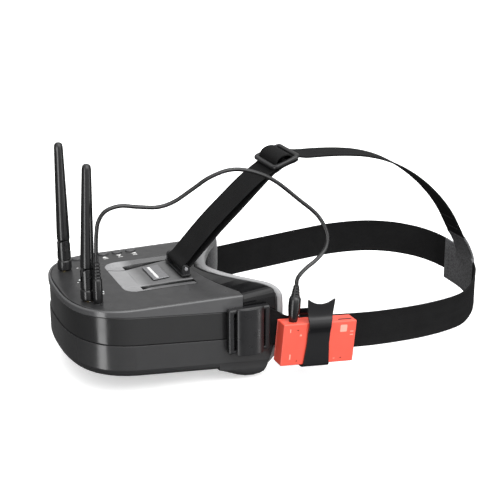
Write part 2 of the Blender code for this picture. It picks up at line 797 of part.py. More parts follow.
def anchor():
    """The moulded loop on the left side that the webbing threads through."""
    low, high = ANCHOR_Z
    channel = (low + 2.9, high - 2.9)
    body = box((ANCHOR_INNER_X, ANCHOR_Y[0], low), (ANCHOR_OUTER_X, ANCHOR_Y[1], high), 1.3)
    return cut(
        body,
        box((ANCHOR_INNER_X - 3, ANCHOR_Y[0] - 3, channel[0]),
            (ANCHOR_BAR_X, ANCHOR_Y[1] + 3, channel[1])),
        box((ANCHOR_BAR_X - 2, ANCHOR_Y[0] + 4.5, channel[0]), (90, ANCHOR_Y[0] + 15, channel[1])),
        box((ANCHOR_BAR_X - 2, ANCHOR_Y[0] + 20, channel[0]), (90, ANCHOR_Y[1] - 4.5, channel[1])),
    )


def keeper():
    """The bowed cap that snaps over the webbing where it crosses the middle bar."""
    middle_y = (ANCHOR_Y[0] + ANCHOR_Y[1]) / 2
    seat = ANCHOR_OUTER_X + GAP
    outer, inner = [], []
    for i in range(11):
        angle = math.pi * i / 10
        outer.append((seat + 4.8 * math.sin(angle), middle_y - 11.6 * math.cos(angle)))
        inner.append((seat + 3.5 * math.sin(angle), middle_y - 10.0 * math.cos(angle)))
    return prism(outer + list(reversed(inner)), ANCHOR_Z[0] - 0.8, ANCHOR_Z[1] + 0.8)


ANCHOR_THREAD = (
    (74.2, 50.0), (74.2, 55.5), (76.2, 59.0), (79.4, 61.6), (81.1, 64.2), (81.35, 67.0),
    (81.1, 69.8), (79.4, 72.4), (76.2, 75.0), (74.3, 79.0),
)
LEFT_RUN = (
    (74.3, 85.5, -27.8), (75.3, 91.5, -31.0), (76.3, 98, -35.0), (76.6, 106, -37.4),
    (76.6, 124, -39.3), (76.6, 150, -42.0), (76.4, 175, -44.2), (75.5, 200, -45.5),
    (73, 225, -46.6), (67.5, 251, -47.5), (58, 274.5, -48.2), (45, 292, -45.6), (30.5, 303.6, -41.3),
    (20.6, 308.3, -38.5),
)
RIGHT_RUN = (
    (-74.3, 86, -26.8), (-75.2, 100, -26.0), (-76, 125, -24.2), (-76.5, 150, -22.6),
    (-76.5, 180, -20.3), (-75.5, 212, -18.2), (-72, 243.5, -18.2), (-65.5, 270.5, -20.7),
    (-54.5, 292, -24.6), (-43, 304.6, -28.4), (-31.7, 311.0, -31.2),
)
PATCH_RUN = ((20.0, 308.6, -38.4), (8, 312.4, -36.6), (-8, 314.4, -34.4),
             (-31.0, 311.3, -31.3))


def side_strap(run, sign):
    height = ANCHOR_Z[0] / 2 + ANCHOR_Z[1] / 2
    thread = [(sign * x, y, height) for x, y in ANCHOR_THREAD]
    return ribbon(smooth_path([*thread, *run], 3), Z_AXIS, WEBBING_WIDTH, WEBBING_THICKNESS)


node("strap_anchor_left", anchor(), CHARCOAL, 0.45)
node("strap_anchor_right", mirrored(anchor()), CHARCOAL, 0.45)
node("strap_keeper_left", keeper(), (0.07, 0.07, 0.073), 0.4)
node("strap_keeper_right", mirrored(keeper()), (0.07, 0.07, 0.073), 0.4)
node("side_strap_left", side_strap(LEFT_RUN, 1), BLACK, 0.85, smooth_angle=50)
node("side_strap_right", side_strap(RIGHT_RUN, -1), BLACK, 0.85, smooth_angle=50)

patch_band = ribbon(smooth_path(PATCH_RUN, 5), Z_AXIS, 39.0, 2.4, offset=-4.5)
PATCH_LEG = ((0, 301.2, -1.4), (0, 306.2, -9), (0, 311.3, -20), (0, 313.2, -30))
patch_leg = ribbon(smooth_path(PATCH_LEG, 3), X_AXIS, CROWN_REAR_WIDTH + 1.0, 2.2)
node("rear_patch", joined(patch_band, patch_leg), (0.09, 0.09, 0.095), 0.7, smooth_angle=50)


# --- crown strap ----------------------------------------------------------------------------


def on_glide(along, lift):
    """A point in the crown buckle's own plane, along the strap and above it."""
    turn_y, turn_z = math.cos(GLIDE_PITCH), math.sin(GLIDE_PITCH)
    return (0.0, GLIDE_CENTRE[1] + along * turn_y - lift * turn_z,
            GLIDE_CENTRE[2] + along * turn_z + lift * turn_y)


glide_turn = Matrix.Translation(GLIDE_CENTRE) @ Matrix.Rotation(GLIDE_PITCH, 4, "X")
crown_glide = cut(
    box((-21.6, -13.4, -1.5), (21.6, 13.4, 1.5), 0.9),
    box((-17.6, -9.6, -4), (17.6, -1.8, 4)),
    box((-17.6, 1.8, -4), (17.6, 9.6, 4)),
)
node("crown_glide", moved(crown_glide, glide_turn), (0.03, 0.03, 0.032), 0.35)

PIN_WRAP = 1.5 + GAP + CROWN_THICKNESS / 2 + 0.1
loop_angles = (140, 185, 230, 275, 310)
loop_points = [(0, BRACKET_PIN[0] + PIN_WRAP * math.cos(math.radians(a)),
                BRACKET_PIN[1] + PIN_WRAP * math.sin(math.radians(a))) for a in loop_angles]
CROWN_RUN = (
    (0, 300.8, -0.8), (0, 295.8, 8.5), (0, 287.5, 23), (0, 275.8, 38), (0, 260.5, 53),
    (0, 243, 66), (0, 223, 76.6), (0, 203, 83.0), (0, 183, 86.2), (0, 164, 87.6),
    (0, 146, 88.2),
    on_glide(13.4, -3.2), on_glide(9.9, -3.1), on_glide(5.4, 0.0), on_glide(2.3, 2.6),
    on_glide(0.0, 2.9), on_glide(-2.3, 2.6), on_glide(-5.4, 0.0), on_glide(-9.9, -3.1),
    on_glide(-13.4, -3.9), (0, 98.7, 70.6), (0, 80.4, 55.0), (0, 62.7, 38.9), (0, 45.8, 21.4),
    (0, 38.6, 13.4), *loop_points,
    (0, 41.5, 9.4), (0, 48.5, 16.3), (0, 66.7, 34.5), (0, 84.6, 51.0), (0, 101.8, 67.2),
    on_glide(-13.4, -6.3), on_glide(-8.5, -5.4), on_glide(-2.0, -3.0),
)


def crown_width(point):
    """The loop ahead of the buckle is made of wider webbing than the run behind it."""
    share = min(1.0, max(0.0, (point.y - GLIDE_CENTRE[1] - 2.0) / 8.0))
    return CROWN_FRONT_WIDTH + (CROWN_REAR_WIDTH - CROWN_FRONT_WIDTH) * share


crown_strap = ribbon(smooth_path(CROWN_RUN, 3), X_AXIS, crown_width, CROWN_THICKNESS)
node("crown_strap", crown_strap, BLACK, 0.85, smooth_angle=50)


# --- recorder -------------------------------------------------------------------------------

recorder_turn = Matrix.Translation(RECORDER_CENTRE) @ Matrix.Rotation(RECORDER_PITCH, 4, "X")
half_x, half_y, half_z = (size / 2 for size in RECORDER_SIZE)
CARD_Y = 23.0
PLUG_Y = -21.6
CLIP_Y = -1.5
BACK_X = -half_x


def on_recorder(x, y, z):
    """A point given in the recorder's own frame."""
    return tuple(recorder_turn @ Vector((x, y, z)))


def recorder_node(name, bm, *finish, pivot=None, **more):
    return node(name, moved(bm, recorder_turn), *finish,
                pivot=on_recorder(*pivot) if pivot else None, **more)


case = cut(
    box((BACK_X + 1.5, -half_y, -half_z), (half_x, half_y, half_z), 1.0),
    box((BACK_X - 3, -half_y + RECORDER_WALL, -half_z + RECORDER_WALL),
        (half_x - RECORDER_WALL, half_y - RECORDER_WALL, half_z - RECORDER_WALL)),
    rod(3.2, (0, PLUG_Y, half_z - 4), (0, PLUG_Y, half_z + 4), 20),
    box((1.6, CARD_Y - 6.2, half_z - 4), (3.4, CARD_Y + 6.2, half_z + 4)),
    box((-2.6, half_y - 4, -4.1), (2.6, half_y + 4, 4.1)),
    *[rod(0.7, (half_x - 4, y, z), (half_x + 4, y, z), 10)
      for y, z in ((-19.5, 12.0), (-18.5, -14.0), (20.5, -14.0))],
)
recorder_node("recorder_case", case, (0.8, 0.09, 0.05), 0.4, 0.3)
back = joined(
    box((BACK_X, -half_y + 0.2, -half_z + 0.2), (BACK_X + 1.2, half_y - 0.2, half_z - 0.2), 0.3, 1),
    box((BACK_X + 1, -half_y + 2, -half_z + 2), (BACK_X + 2.4, half_y - 2, half_z - 2)),
)
recorder_node("recorder_back", back, (0.55, 0.05, 0.03), 0.45, 0.3)
recorder_node("recorder_board", box((4.3, -29, -15), (5.3, 27, 14.6)), (0.02, 0.12, 0.05), 0.5)
recorder_node("recorder_battery", box((-4.0, -10, -14), (-0.2, 27, 10), 0.8, 1),
              (0.5, 0.5, 0.52), 0.4)
recorder_jack = cut(
    joined(box((-3.8, PLUG_Y - 3.6, 6.4), (3.8, PLUG_Y + 3.6, 15.9)),
           rod(2.9, (0, PLUG_Y, 15), (0, PLUG_Y, half_z - 0.1), 20)),
    rod(1.95, (0, PLUG_Y, 8), (0, PLUG_Y, 30), 16),
)
recorder_node("recorder_jack", recorder_jack, BLACK, 0.4)
recorder_node("memory_card", box((2.0, CARD_Y - 5.5, 4.4), (3.0, CARD_Y + 5.5, half_z + 0.25)),
              (0.02, 0.02, 0.02), 0.3, pivot=(2.5, CARD_Y, half_z))
record_button = joined(
    box((-2.2, half_y - 3.4, -3.7), (2.2, half_y + 1.0, 3.7), 0.4, 1),
    box((-3.2, half_y - 2.4, -5.0), (3.2, half_y - 1.6, 5.0)),
)
recorder_node("record_button", record_button, BLACK, 0.35, pivot=(0, half_y, 0))


def clip_outline():
    """The clip's path seen along the strap, from the thumb tab round under the recorder."""
    front = half_x + 1.0
    back = BACK_X - 3.1
    return ((front - 1.9, half_z + 20.3), (front - 1.2, half_z + 12), (front + 0.2, half_z + 3),
            (front + 0.5, half_z - 3), (front, half_z - 8), (front, 0), (front, -half_z + 2),
            (front - 0.6, -half_z - 0.6), (front - 3.4, -half_z - 1.9), (0, -half_z - 2.1),
            (back + 3.2, -half_z - 1.9), (back + 0.7, -half_z - 0.8), (back, -half_z + 3),
            (back, 0), (back - 0.1, half_z - 2), (back - 0.3, half_z + 3), (back - 1.2, half_z + 6))


def clip_half_width(z):
    """Half the clip's width: wide at the thumb tab and the foot, waisted at the bend."""
    above = max(0.0, z - half_z) / 20.3
    below = max(0.0, -z) / half_z
    return 9.8 + 2.2 * min(1.0, above) ** 0.7 + 1.6 * below


def recorder_clip():
    path = smooth_path([(x, CLIP_Y, z) for x, z in clip_outline()], 3)
    rings = []
    for point, along in zip(path, tangents(path)):
        face = along.cross(Vector((0, 1, 0)))
        half = clip_half_width(point.z)
        rings.append([point + face * (v * 0.65) + Vector((0, u * half, 0))
                      for u, v in ((1, 1), (-1, 1), (-1, -1), (1, -1))])
    notch = rod(16.0, (0, CLIP_Y, half_z + 31.4), (20, CLIP_Y, half_z + 31.4), 48)
    return cut(loft(rings), notch)


recorder_node("recorder_clip", recorder_clip(), (0.02, 0.02, 0.021), 0.3)


# --- lead and plugs -------------------------------------------------------------------------


def ribbed(bottom, top, wide, narrow, ribs):
    """A strain relief: ribs that get smaller towards the lead."""
    pairs = []
    step = (top - bottom) / ribs
    for i in range(ribs):
        radius = wide + (narrow - wide) * i / (ribs - 1)
        base = bottom + step * i
        pairs += [(radius, base + 0.15 * step), (radius, base + 0.6 * step),
                  (radius - 0.45, base + 0.7 * step), (radius - 0.45, base + 0.98 * step)]
    return pairs


goggle_plug = turned(
    ((1.1, -9.8), (1.75, -9.0), (1.75, 1.3), (3.3, 1.3), (3.7, 1.9), (3.8, 12.0), (3.7, 19.6),
     (3.1, 20.6), *ribbed(20.8, 33.6, 3.1, 2.4, 5)), (*AV_SOCKET, 0), 14)
node("goggle_plug", goggle_plug, BLACK, 0.45)

plug_profile = ((1.1, -7.6), (1.75, -6.8), (1.75, 0.3), (3.2, 0.3), (3.5, 1.0), (4.5, 8.0),
                (4.9, 13.0), (4.7, 18.5), (3.8, 20.6), *ribbed(20.8, 29.6, 3.5, 2.5, 4))
recorder_node("recorder_plug", turned(plug_profile, (0, PLUG_Y, half_z), 14), BLACK, 0.45)

LEAD_ROUTE = (
    (AV_SOCKET[0], AV_SOCKET[1], 33.9), (46.0, -44.4, 45), (46.0, -43.6, 56), (46.2, -41.8, 65.5),
    (46.8, -36.0, 73.2), (48, -25, 76.2), (49.5, -11, 74.2), (51.5, 3.5, 73.0), (53.5, 16, 76.6),
    (56, 30, 85.6), (59, 42.5, 94.0), (62, 58, 99.0), (64, 74, 96.8), (67, 92, 88.4),
    (70, 112, 71.5), (73.5, 126.5, 58.0), (77, 133.0, 44.0), (80, 131.0, 33.2), (82.4, 122.5, 25.5),
    (84.0, 113.0, 20.2), (84.8, 106.6, 15.2), on_recorder(0, PLUG_Y, half_z + 34.0),
    on_recorder(0, PLUG_Y, half_z + 30.0),
)


def lead():
    curve = bpy.data.curves.new("av_lead", "CURVE")
    curve.dimensions = "3D"
    curve.bevel_depth = LEAD_RADIUS * MM
    curve.bevel_resolution = 2
    curve.use_fill_caps = True
    path = smooth_path(LEAD_ROUTE, 3)
    spline = curve.splines.new("POLY")
    spline.points.add(len(path) - 1)
    for point, place in zip(spline.points, path):
        point.co = (*to_model(place), 1.0)
    curve.materials.append(material("av_lead", BLACK, 0.5, 0.0, 1.0))
    obj = bpy.data.objects.new("av_lead", curve)
    bpy.context.scene.collection.objects.link(obj)


lead()
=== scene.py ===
"""The finished look of box-style FPV goggles on a head harness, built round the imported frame.

Shapes are given in millimetres from the frame's drawing datum: x from the mid-plane towards the
wearer's left, y back, z up from the rim of the top cover. The model's origin is FACE_CENTRE.
"""

import json
import math

import bmesh
import bpy
from mathutils import Matrix, Vector

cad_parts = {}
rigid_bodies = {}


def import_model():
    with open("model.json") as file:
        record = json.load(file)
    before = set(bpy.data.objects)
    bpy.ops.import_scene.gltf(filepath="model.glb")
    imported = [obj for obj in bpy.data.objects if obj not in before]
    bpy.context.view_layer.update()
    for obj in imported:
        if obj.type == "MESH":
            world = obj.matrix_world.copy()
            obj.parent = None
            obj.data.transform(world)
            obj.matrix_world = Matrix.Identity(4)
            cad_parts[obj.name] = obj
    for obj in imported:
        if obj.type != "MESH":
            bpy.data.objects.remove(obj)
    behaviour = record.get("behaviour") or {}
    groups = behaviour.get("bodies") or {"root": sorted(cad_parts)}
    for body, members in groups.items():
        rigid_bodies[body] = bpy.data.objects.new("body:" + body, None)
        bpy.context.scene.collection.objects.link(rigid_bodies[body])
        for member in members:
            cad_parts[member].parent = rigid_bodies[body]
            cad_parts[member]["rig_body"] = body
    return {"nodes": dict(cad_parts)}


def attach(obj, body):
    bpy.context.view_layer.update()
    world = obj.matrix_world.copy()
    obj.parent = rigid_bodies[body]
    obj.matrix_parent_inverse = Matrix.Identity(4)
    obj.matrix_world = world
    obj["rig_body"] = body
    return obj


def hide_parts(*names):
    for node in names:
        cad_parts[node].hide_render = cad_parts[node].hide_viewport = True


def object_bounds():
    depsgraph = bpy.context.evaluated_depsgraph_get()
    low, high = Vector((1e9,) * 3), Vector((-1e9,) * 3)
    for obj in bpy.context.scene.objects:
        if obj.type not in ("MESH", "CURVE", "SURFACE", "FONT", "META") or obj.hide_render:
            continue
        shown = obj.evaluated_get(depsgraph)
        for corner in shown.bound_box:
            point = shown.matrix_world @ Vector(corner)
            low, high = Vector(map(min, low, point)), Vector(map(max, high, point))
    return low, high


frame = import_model()
cad_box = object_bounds()

MM = 0.001
FACE_CENTRE = Vector((0.0, 80.0, -30.0))
X_AXIS = Vector((1, 0, 0))
Z_AXIS = Vector((0, 0, 1))


def to_model(point):
    return (Vector(point) - FACE_CENTRE) * MM


# --- camera ---------------------------------------------------------------------------------

CAMERA_AZIMUTH = math.radians(67.4713)
CAMERA_HEIGHT = math.radians(19.1357)
CAMERA_DISTANCE = 999.9
CAMERA_TARGET = (-0.116, 100.0, 9.397)
CAMERA_LENS = 85.84


def add_camera():
    flat = math.cos(CAMERA_HEIGHT)
    back = Vector((math.sin(CAMERA_AZIMUTH) * flat, -math.cos(CAMERA_AZIMUTH) * flat,
                   math.sin(CAMERA_HEIGHT)))
    right = Vector((math.cos(CAMERA_AZIMUTH), math.sin(CAMERA_AZIMUTH), 0))
    data = bpy.data.cameras.new("camera")
    data.sensor_width = 36.0
    data.lens = CAMERA_LENS
    data.clip_start = 0.01
    camera = bpy.data.objects.new("camera", data)
    turned = Matrix((right, back.cross(right), back)).transposed().to_4x4()
    turned.translation = to_model(CAMERA_TARGET) + back * CAMERA_DISTANCE * MM
    camera.matrix_world = turned
    bpy.context.scene.collection.objects.link(camera)
    bpy.context.scene.camera = camera


add_camera()


# --- node materials -------------------------------------------------------------------------


def add(tree, kind, inputs=(), **settings):
    item = tree.nodes.new(kind)
    for key, value in settings.items():
        setattr(item, key, value)
    for key, value in dict(inputs).items():
        if isinstance(value, bpy.types.NodeSocket):
            tree.links.new(value, item.inputs[key])
        else:
            item.inputs[key].default_value = value
    return item


FINISH = {}


def blank(name, **values):
    """A Principled material, with values set on the shader's own sockets, kept in FINISH."""
    material = bpy.data.materials.new(name)
    FINISH[name] = material
    material.use_nodes = True
    shader = material.node_tree.nodes["Principled BSDF"]
    for key, value in values.items():
        shader.inputs[key.replace("_", " ")].default_value = value
    return material, material.node_tree, shader


def in_mm(tree):
    """The point on the piece, in millimetres."""
    coordinates = add(tree, "ShaderNodeTexCoord").outputs["Object"]
    scaled = add(tree, "ShaderNodeVectorMath", {0: coordinates, "Scale": 1 / MM}, operation="SCALE")
    return scaled.outputs[0]


def noise(tree, place, scale, detail=2.0):
    return add(tree, "ShaderNodeTexNoise", {"Vector": place, "Scale": scale,
                                            "Detail": detail}).outputs[0]


def sums(tree, operation, *values):
    return add(tree, "ShaderNodeMath", dict(enumerate(values)), operation=operation).outputs[0]


def times(tree, first, second):
    return sums(tree, "MULTIPLY", first, second)


def plus(tree, first, second):
    return sums(tree, "ADD", first, second)


def between(tree, value, low, high, bottom=0.0, top=1.0):
    """A value taken from one range to another, and held there."""
    return add(tree, "ShaderNodeMapRange", {"Value": value, "From Min": low, "From Max": high,
                                            "To Min": bottom, "To Max": top}).outputs[0]


def mixed(tree, factor, first, second):
    item = add(tree, "ShaderNodeMix", data_type="RGBA")
    for index, value in ((0, factor), (6, first), (7, second)):
        if isinstance(value, bpy.types.NodeSocket):
            tree.links.new(value, item.inputs[index])
        else:
            item.inputs[index].default_value = value if index == 0 else (*value, 1.0)
    return item.outputs[2]


def scaled(colour, factor):
    return tuple(min(1.0, channel * factor) for channel in colour)


def rounded_edges(tree, radius):
    """A normal that rounds sharp edges over, and a mask of where those edges are."""
    bevel = add(tree, "ShaderNodeBevel", {"Radius": radius * MM}, samples=6).outputs[0]
    plain = add(tree, "ShaderNodeNewGeometry").outputs["Normal"]
    dot = add(tree, "ShaderNodeVectorMath", {0: bevel, 1: plain}, operation="DOT_PRODUCT")
    return bevel, between(tree, dot.outputs["Value"], 0.97, 0.85)


def drive(tree, shader, **values):
    """Wires values to the shader's own sockets."""
    for key, value in values.items():
        tree.links.new(value, shader.inputs[key.replace("_", " ")])


def bump(tree, shader, height, distance, normal=None):
    inputs = {"Height": height, "Distance": distance * MM, "Strength": 1.0}
    if normal is not None:
        inputs["Normal"] = normal
    drive(tree, shader, Normal=add(tree, "ShaderNodeBump", inputs).outputs[0])


def moulded(name, colour, roughness, grain=0.02, mottle=0.12, edge_wear_and_highlight=0.25, edge=0.35, grain_scale=0.9,
            recess_shade_depth=0.0, shade_along_y=None, **values):
    """Moulded plastic or painted metal: fine grain, faint handling marks and edges made paler, partly
    rubbed wear and partly a painted highlight. Painted shade can be added in recesses and along y.
    """
    _, tree, shader = blank(name, **values)
    place = in_mm(tree)
    normal, edges = rounded_edges(tree, edge)
    tone = mixed(tree, noise(tree, place, 0.05, 3.0), scaled(colour, 1 - mottle),
                 scaled(colour, 1 + mottle))
    patchy = between(tree, noise(tree, place, 0.4, 4.0), 0.4, 0.62, 0.15, 1.0)
    # Painted highlight with real wear: edges are made paler in patches, partly rubbed wear and partly a
    # painted highlight along the edges.
    rubbed_and_highlit_edges = times(tree, times(tree, edges, patchy), edge_wear_and_highlight)
    pale = tuple(0.5 * channel + 0.16 for channel in colour)
    tone = mixed(tree, rubbed_and_highlit_edges, tone, pale)
    # Painted shade: the colour darkens to 0.4 times along y over the given range, for the panel's plate
    # behind its brighter front ramp.
    if shade_along_y:
        back = add(tree, "ShaderNodeSeparateXYZ", {0: place}).outputs[1]
        tone = mixed(tree, between(tree, back, *shade_along_y), tone, scaled(colour, 0.4))
    # Painted shade: recesses found by ambient occlusion within this depth, in millimetres, are darkened
    # towards a near-black copy of the colour.
    if recess_shade_depth:
        hollow = add(tree, "ShaderNodeAmbientOcclusion", {"Distance": recess_shade_depth * MM}, samples=8)
        closed = between(tree, hollow.outputs["AO"], 0.62, 0.92, 1.0, 0.0)
        tone = mixed(tree, closed, tone, scaled(colour, 0.06))
    smears = noise(tree, place, 0.11, 4.0)
    spread = max(0.03, roughness * 0.2)
    drive(tree, shader, Base_Color=tone,
          Roughness=between(tree, smears, 0.3, 0.7, roughness - spread, roughness + spread))
    bump(tree, shader, noise(tree, place, grain_scale, 3.0), grain, normal)


RIB_PITCH = 1.5
COLUMN_WIDTH = 7.5
THREAD_PITCH = 1.25


def woven(name, colour, highlight, **values):
    """Flat webbing: a herringbone of ribs across its width, with loose fibres, and rib crests painted
    lighter in patches as a painted highlight.
    """
    _, tree, shader = blank(name, **values)
    flat = add(tree, "ShaderNodeSeparateXYZ", {0: add(tree, "ShaderNodeTexCoord").outputs["UV"]})
    across = times(tree, flat.outputs[0], 1 / MM)
    along = times(tree, flat.outputs[1], 1 / MM)
    zigzag = sums(tree, "PINGPONG", across, COLUMN_WIDTH / 2)
    turns = times(tree, plus(tree, along, zigzag), math.tau / RIB_PITCH)
    ribs = between(tree, sums(tree, "SINE", turns), -1.0, 1.0)
    strands = times(tree, across, math.tau / THREAD_PITCH)
    threads = between(tree, sums(tree, "SINE", strands), -1.0, 1.0)
    weave = plus(tree, times(tree, ribs, 0.65), times(tree, threads, 0.35))
    place = in_mm(tree)
    fibres = noise(tree, place, 3.5, 3.0)
    height = plus(tree, weave, times(tree, fibres, 0.35))
    # Painted highlight: the rib crests are lightened towards the highlight colour, in patches.
    rib_crest_highlight = times(tree, weave, between(tree, noise(tree, place, 0.08, 3.0), 0.3, 0.7, 0.5, 1.0))
    drive(tree, shader, Base_Color=mixed(tree, rib_crest_highlight, colour, highlight),
          Roughness=between(tree, fibres, 0.3, 0.7, 0.62, 0.86))
    bump(tree, shader, height, 0.16)


def leather(name, colour, **values):
    """Pebbled leather with painted shade in its creases, a painted lighter tone on the raised grain,
    and a soft shine on the raised grain.
    """
    _, tree, shader = blank(name, **values)
    place = in_mm(tree)
    cells = add(tree, "ShaderNodeTexVoronoi", {"Vector": place, "Scale": 0.75, "Randomness": 0.9},
                feature="SMOOTH_F1").outputs["Distance"]
    fine = noise(tree, place, 1.6, 4.0)
    grain = plus(tree, between(tree, cells, 0.0, 0.8, 1.0, 0.0), times(tree, fine, 0.5))
    # Painted shade and highlight: the colour follows the grain's height, darker in the creases and lighter
    # on the raised grain.
    tone = mixed(tree, between(tree, grain, 0.4, 1.2), scaled(colour, 0.62), scaled(colour, 1.2))
    drive(tree, shader, Base_Color=tone, Roughness=between(tree, grain, 0.4, 1.2, 0.62, 0.42))
    bump(tree, shader, grain, 0.08)


def cloth_foam(name, colour, dark, **values):
    """Cloth-faced foam: a fine knit over soft lumps, darker on the side that meets the face."""
    _, tree, shader = blank(name, **values)
    place = in_mm(tree)
    knit = add(tree, "ShaderNodeTexVoronoi", {"Vector": place, "Scale": 1.5, "Randomness": 0.55})
    stitchwork = between(tree, knit.outputs["Distance"], 0.0, 0.75, 1.0, 0.0)
    lumps = noise(tree, place, 0.12, 3.0)
    tone = mixed(tree, lumps, scaled(colour, 0.86), scaled(colour, 1.1))
    side = add(tree, "ShaderNodeVertexColor", layer_name="facing").outputs["Color"]
    tone = mixed(tree, side, tone, dark)
    tone = mixed(tree, times(tree, stitchwork, 0.25), tone, scaled(colour, 1.25))
    drive(tree, shader, Base_Color=tone, Roughness=between(tree, lumps, 0.3, 0.7, 0.82, 0.95))
    height = plus(tree, stitchwork, times(tree, lumps, 1.6))
    bump(tree, shader, height, 0.2)


def lens_finish(name):
    """Clear acrylic with the fine rings of a flat magnifier."""
    _, tree, shader = blank(name, Metallic=0.0, IOR=1.49, Transmission_Weight=0.9)
    place = in_mm(tree)
    centred = add(tree, "ShaderNodeVectorMath", {0: place, 1: (0.0, 0.0, 1.5)}, operation="SUBTRACT")
    x, _, z = add(tree, "ShaderNodeSeparateXYZ", {0: centred.outputs[0]}).outputs
    square = plus(tree, times(tree, x, x), times(tree, z, z))
    saw = sums(tree, "FRACT", times(tree, sums(tree, "SQRT", square), 0.5))
    dust = noise(tree, place, 0.3, 4.0)
    drive(tree, shader, Base_Color=mixed(tree, saw, (0.42, 0.47, 0.5), (0.82, 0.88, 0.92)),
          Roughness=between(tree, dust, 0.35, 0.75, 0.03, 0.1))
    bump(tree, shader, saw, 0.02)


def circuit(name):
    """Green lacquer over faint copper tracks."""
    _, tree, shader = blank(name, Coat_Weight=0.4, Coat_Roughness=0.15)
    place = in_mm(tree)
    tracks = add(tree, "ShaderNodeTexBrick", {"Vector": place, "Scale": 0.32, "Mortar Size": 0.03,
                                              "Color1": (0.012, 0.10, 0.035, 1.0),
                                              "Color2": (0.016, 0.13, 0.045, 1.0),
                                              "Mortar": (0.05, 0.22, 0.08, 1.0)})
    drive(tree, shader, Base_Color=tracks.outputs["Color"],
          Roughness=between(tree, noise(tree, place, 0.4, 3.0), 0.3, 0.7, 0.35, 0.55))
    bump(tree, shader, tracks.outputs["Fac"], 0.05)


def printed(name, colour):
    """Screen-printed ink, thin in places."""
    _, tree, shader = blank(name, Roughness=0.45)
    place = in_mm(tree)
    thin = between(tree, noise(tree, place, 1.8, 4.0), 0.3, 0.7)
    drive(tree, shader, Base_Color=mixed(tree, thin, scaled(colour, 0.8), colour))
    bump(tree, shader, thin, 0.02)


moulded("housing_upper", (0.07, 0.07, 0.072), 0.2, 0.001)
moulded("housing_dark", (0.016, 0.016, 0.0165), 0.2, 0.001)
moulded("housing_lower", (0.029, 0.029, 0.03), 0.22, 0.001)
moulded("cover", (0.022, 0.022, 0.0228), 0.34, 0.005, edge_wear_and_highlight=0.4)
# The panel: painted shade in its recesses, and painted shade darkening its plate along y behind the front
# ramp.
moulded("panel", (0.3, 0.3, 0.305), 0.36, 0.004, recess_shade_depth=6.0, shade_along_y=(-84.0, -74.0),
        Metallic=0.25)
moulded("label", (0.26, 0.26, 0.27), 0.28, 0.01, Metallic=0.7)
moulded("hood", (0.006, 0.006, 0.0065), 0.17, 0.001, Specular_IOR_Level=0.22)
moulded("inner_black", (0.012, 0.012, 0.013), 0.6, 0.03)
cloth_foam("face_foam", (0.30, 0.30, 0.305), (0.035, 0.035, 0.037), Sheen_Weight=0.25)
lens_finish("lens")
moulded("display", (0.015, 0.016, 0.022), 0.1, 0.003, edge_wear_and_highlight=0.0)
moulded("battery_wrap", (0.05, 0.09, 0.3), 0.35, 0.06, grain_scale=0.5)
circuit("circuit_board")
moulded("button", (0.05, 0.05, 0.052), 0.28, 0.01)
moulded("light_pipe", (0.8, 0.84, 0.84), 0.2, 0.004, edge_wear_and_highlight=0.0, mottle=0.04,
        Transmission_Weight=0.25)
moulded("steel", (0.5, 0.5, 0.52), 0.3, 0.01, Metallic=1.0)
moulded("brass", (0.78, 0.6, 0.28), 0.28, 0.01, Metallic=1.0)
moulded("antenna", (0.006, 0.006, 0.0065), 0.22, 0.0015)
moulded("buckle", (0.011, 0.011, 0.012), 0.3, 0.0015, edge_wear_and_highlight=0.12, Specular_IOR_Level=0.36)
woven("webbing", (0.003, 0.003, 0.0032), (0.011, 0.011, 0.0115), Specular_IOR_Level=0.12)
leather("patch", (0.135, 0.135, 0.139), Specular_IOR_Level=0.25)
moulded("recorder_red", (0.8, 0.09, 0.056), 0.38, 0.004, mottle=0.03, edge_wear_and_highlight=0.6)
moulded("battery_cell", (0.45, 0.45, 0.47), 0.3, 0.05, grain_scale=0.6, Metallic=0.6)
moulded("clip", (0.003, 0.003, 0.004), 0.18, 0.0006, Specular_IOR_Level=0.42)
moulded("cord", (0.005, 0.005, 0.0055), 0.26, 0.002, edge_wear_and_highlight=0.0)
printed("ink", (0.75, 0.75, 0.74))
printed("red_ink", (0.95, 0.42, 0.33))
moulded("thread", (0.035, 0.035, 0.037), 0.6, 0.05, grain_scale=5.0, edge_wear_and_highlight=0.0)

# The starts of the names of the nodes that each finish is for
NODES_OF_FINISH = {
    "housing_upper": "upper_band", "housing_dark": "middle_band", "housing_lower": "lower_housing",
    "inner_black": "foam_carrier lens_frame display_frame av_jack power_jack recorder_jack memory_card",
    "hood": "face_hood", "steel": "housing_screw bracket_pin", "cover": "top_cover",
    "panel": "centre_panel", "label": "label_plate",
    "buckle": "strap_bracket strap_anchor strap_keeper crown_glide", "lens": "fresnel_lens",
    "display": "display_panel", "battery_wrap": "battery_pack",
    "circuit_board": "main_board recorder_board", "button": "menu_button record_button",
    "light_pipe": "status_light", "brass": "antenna_socket", "antenna": "antenna_base antenna_whip",
    "recorder_red": "recorder_case recorder_back", "battery_cell": "recorder_battery",
    "clip": "recorder_clip",
}
FINISH_OF = {start: finish for finish, starts in NODES_OF_FINISH.items()
             for start in starts.split()}
for name in frame["nodes"]:
    for start, finish in FINISH_OF.items():
        if name.startswith(start):
            for held in bpy.data.objects[name].material_slots:
                held.material = FINISH[finish]


# --- mesh tools -----------------------------------------------------------------------------


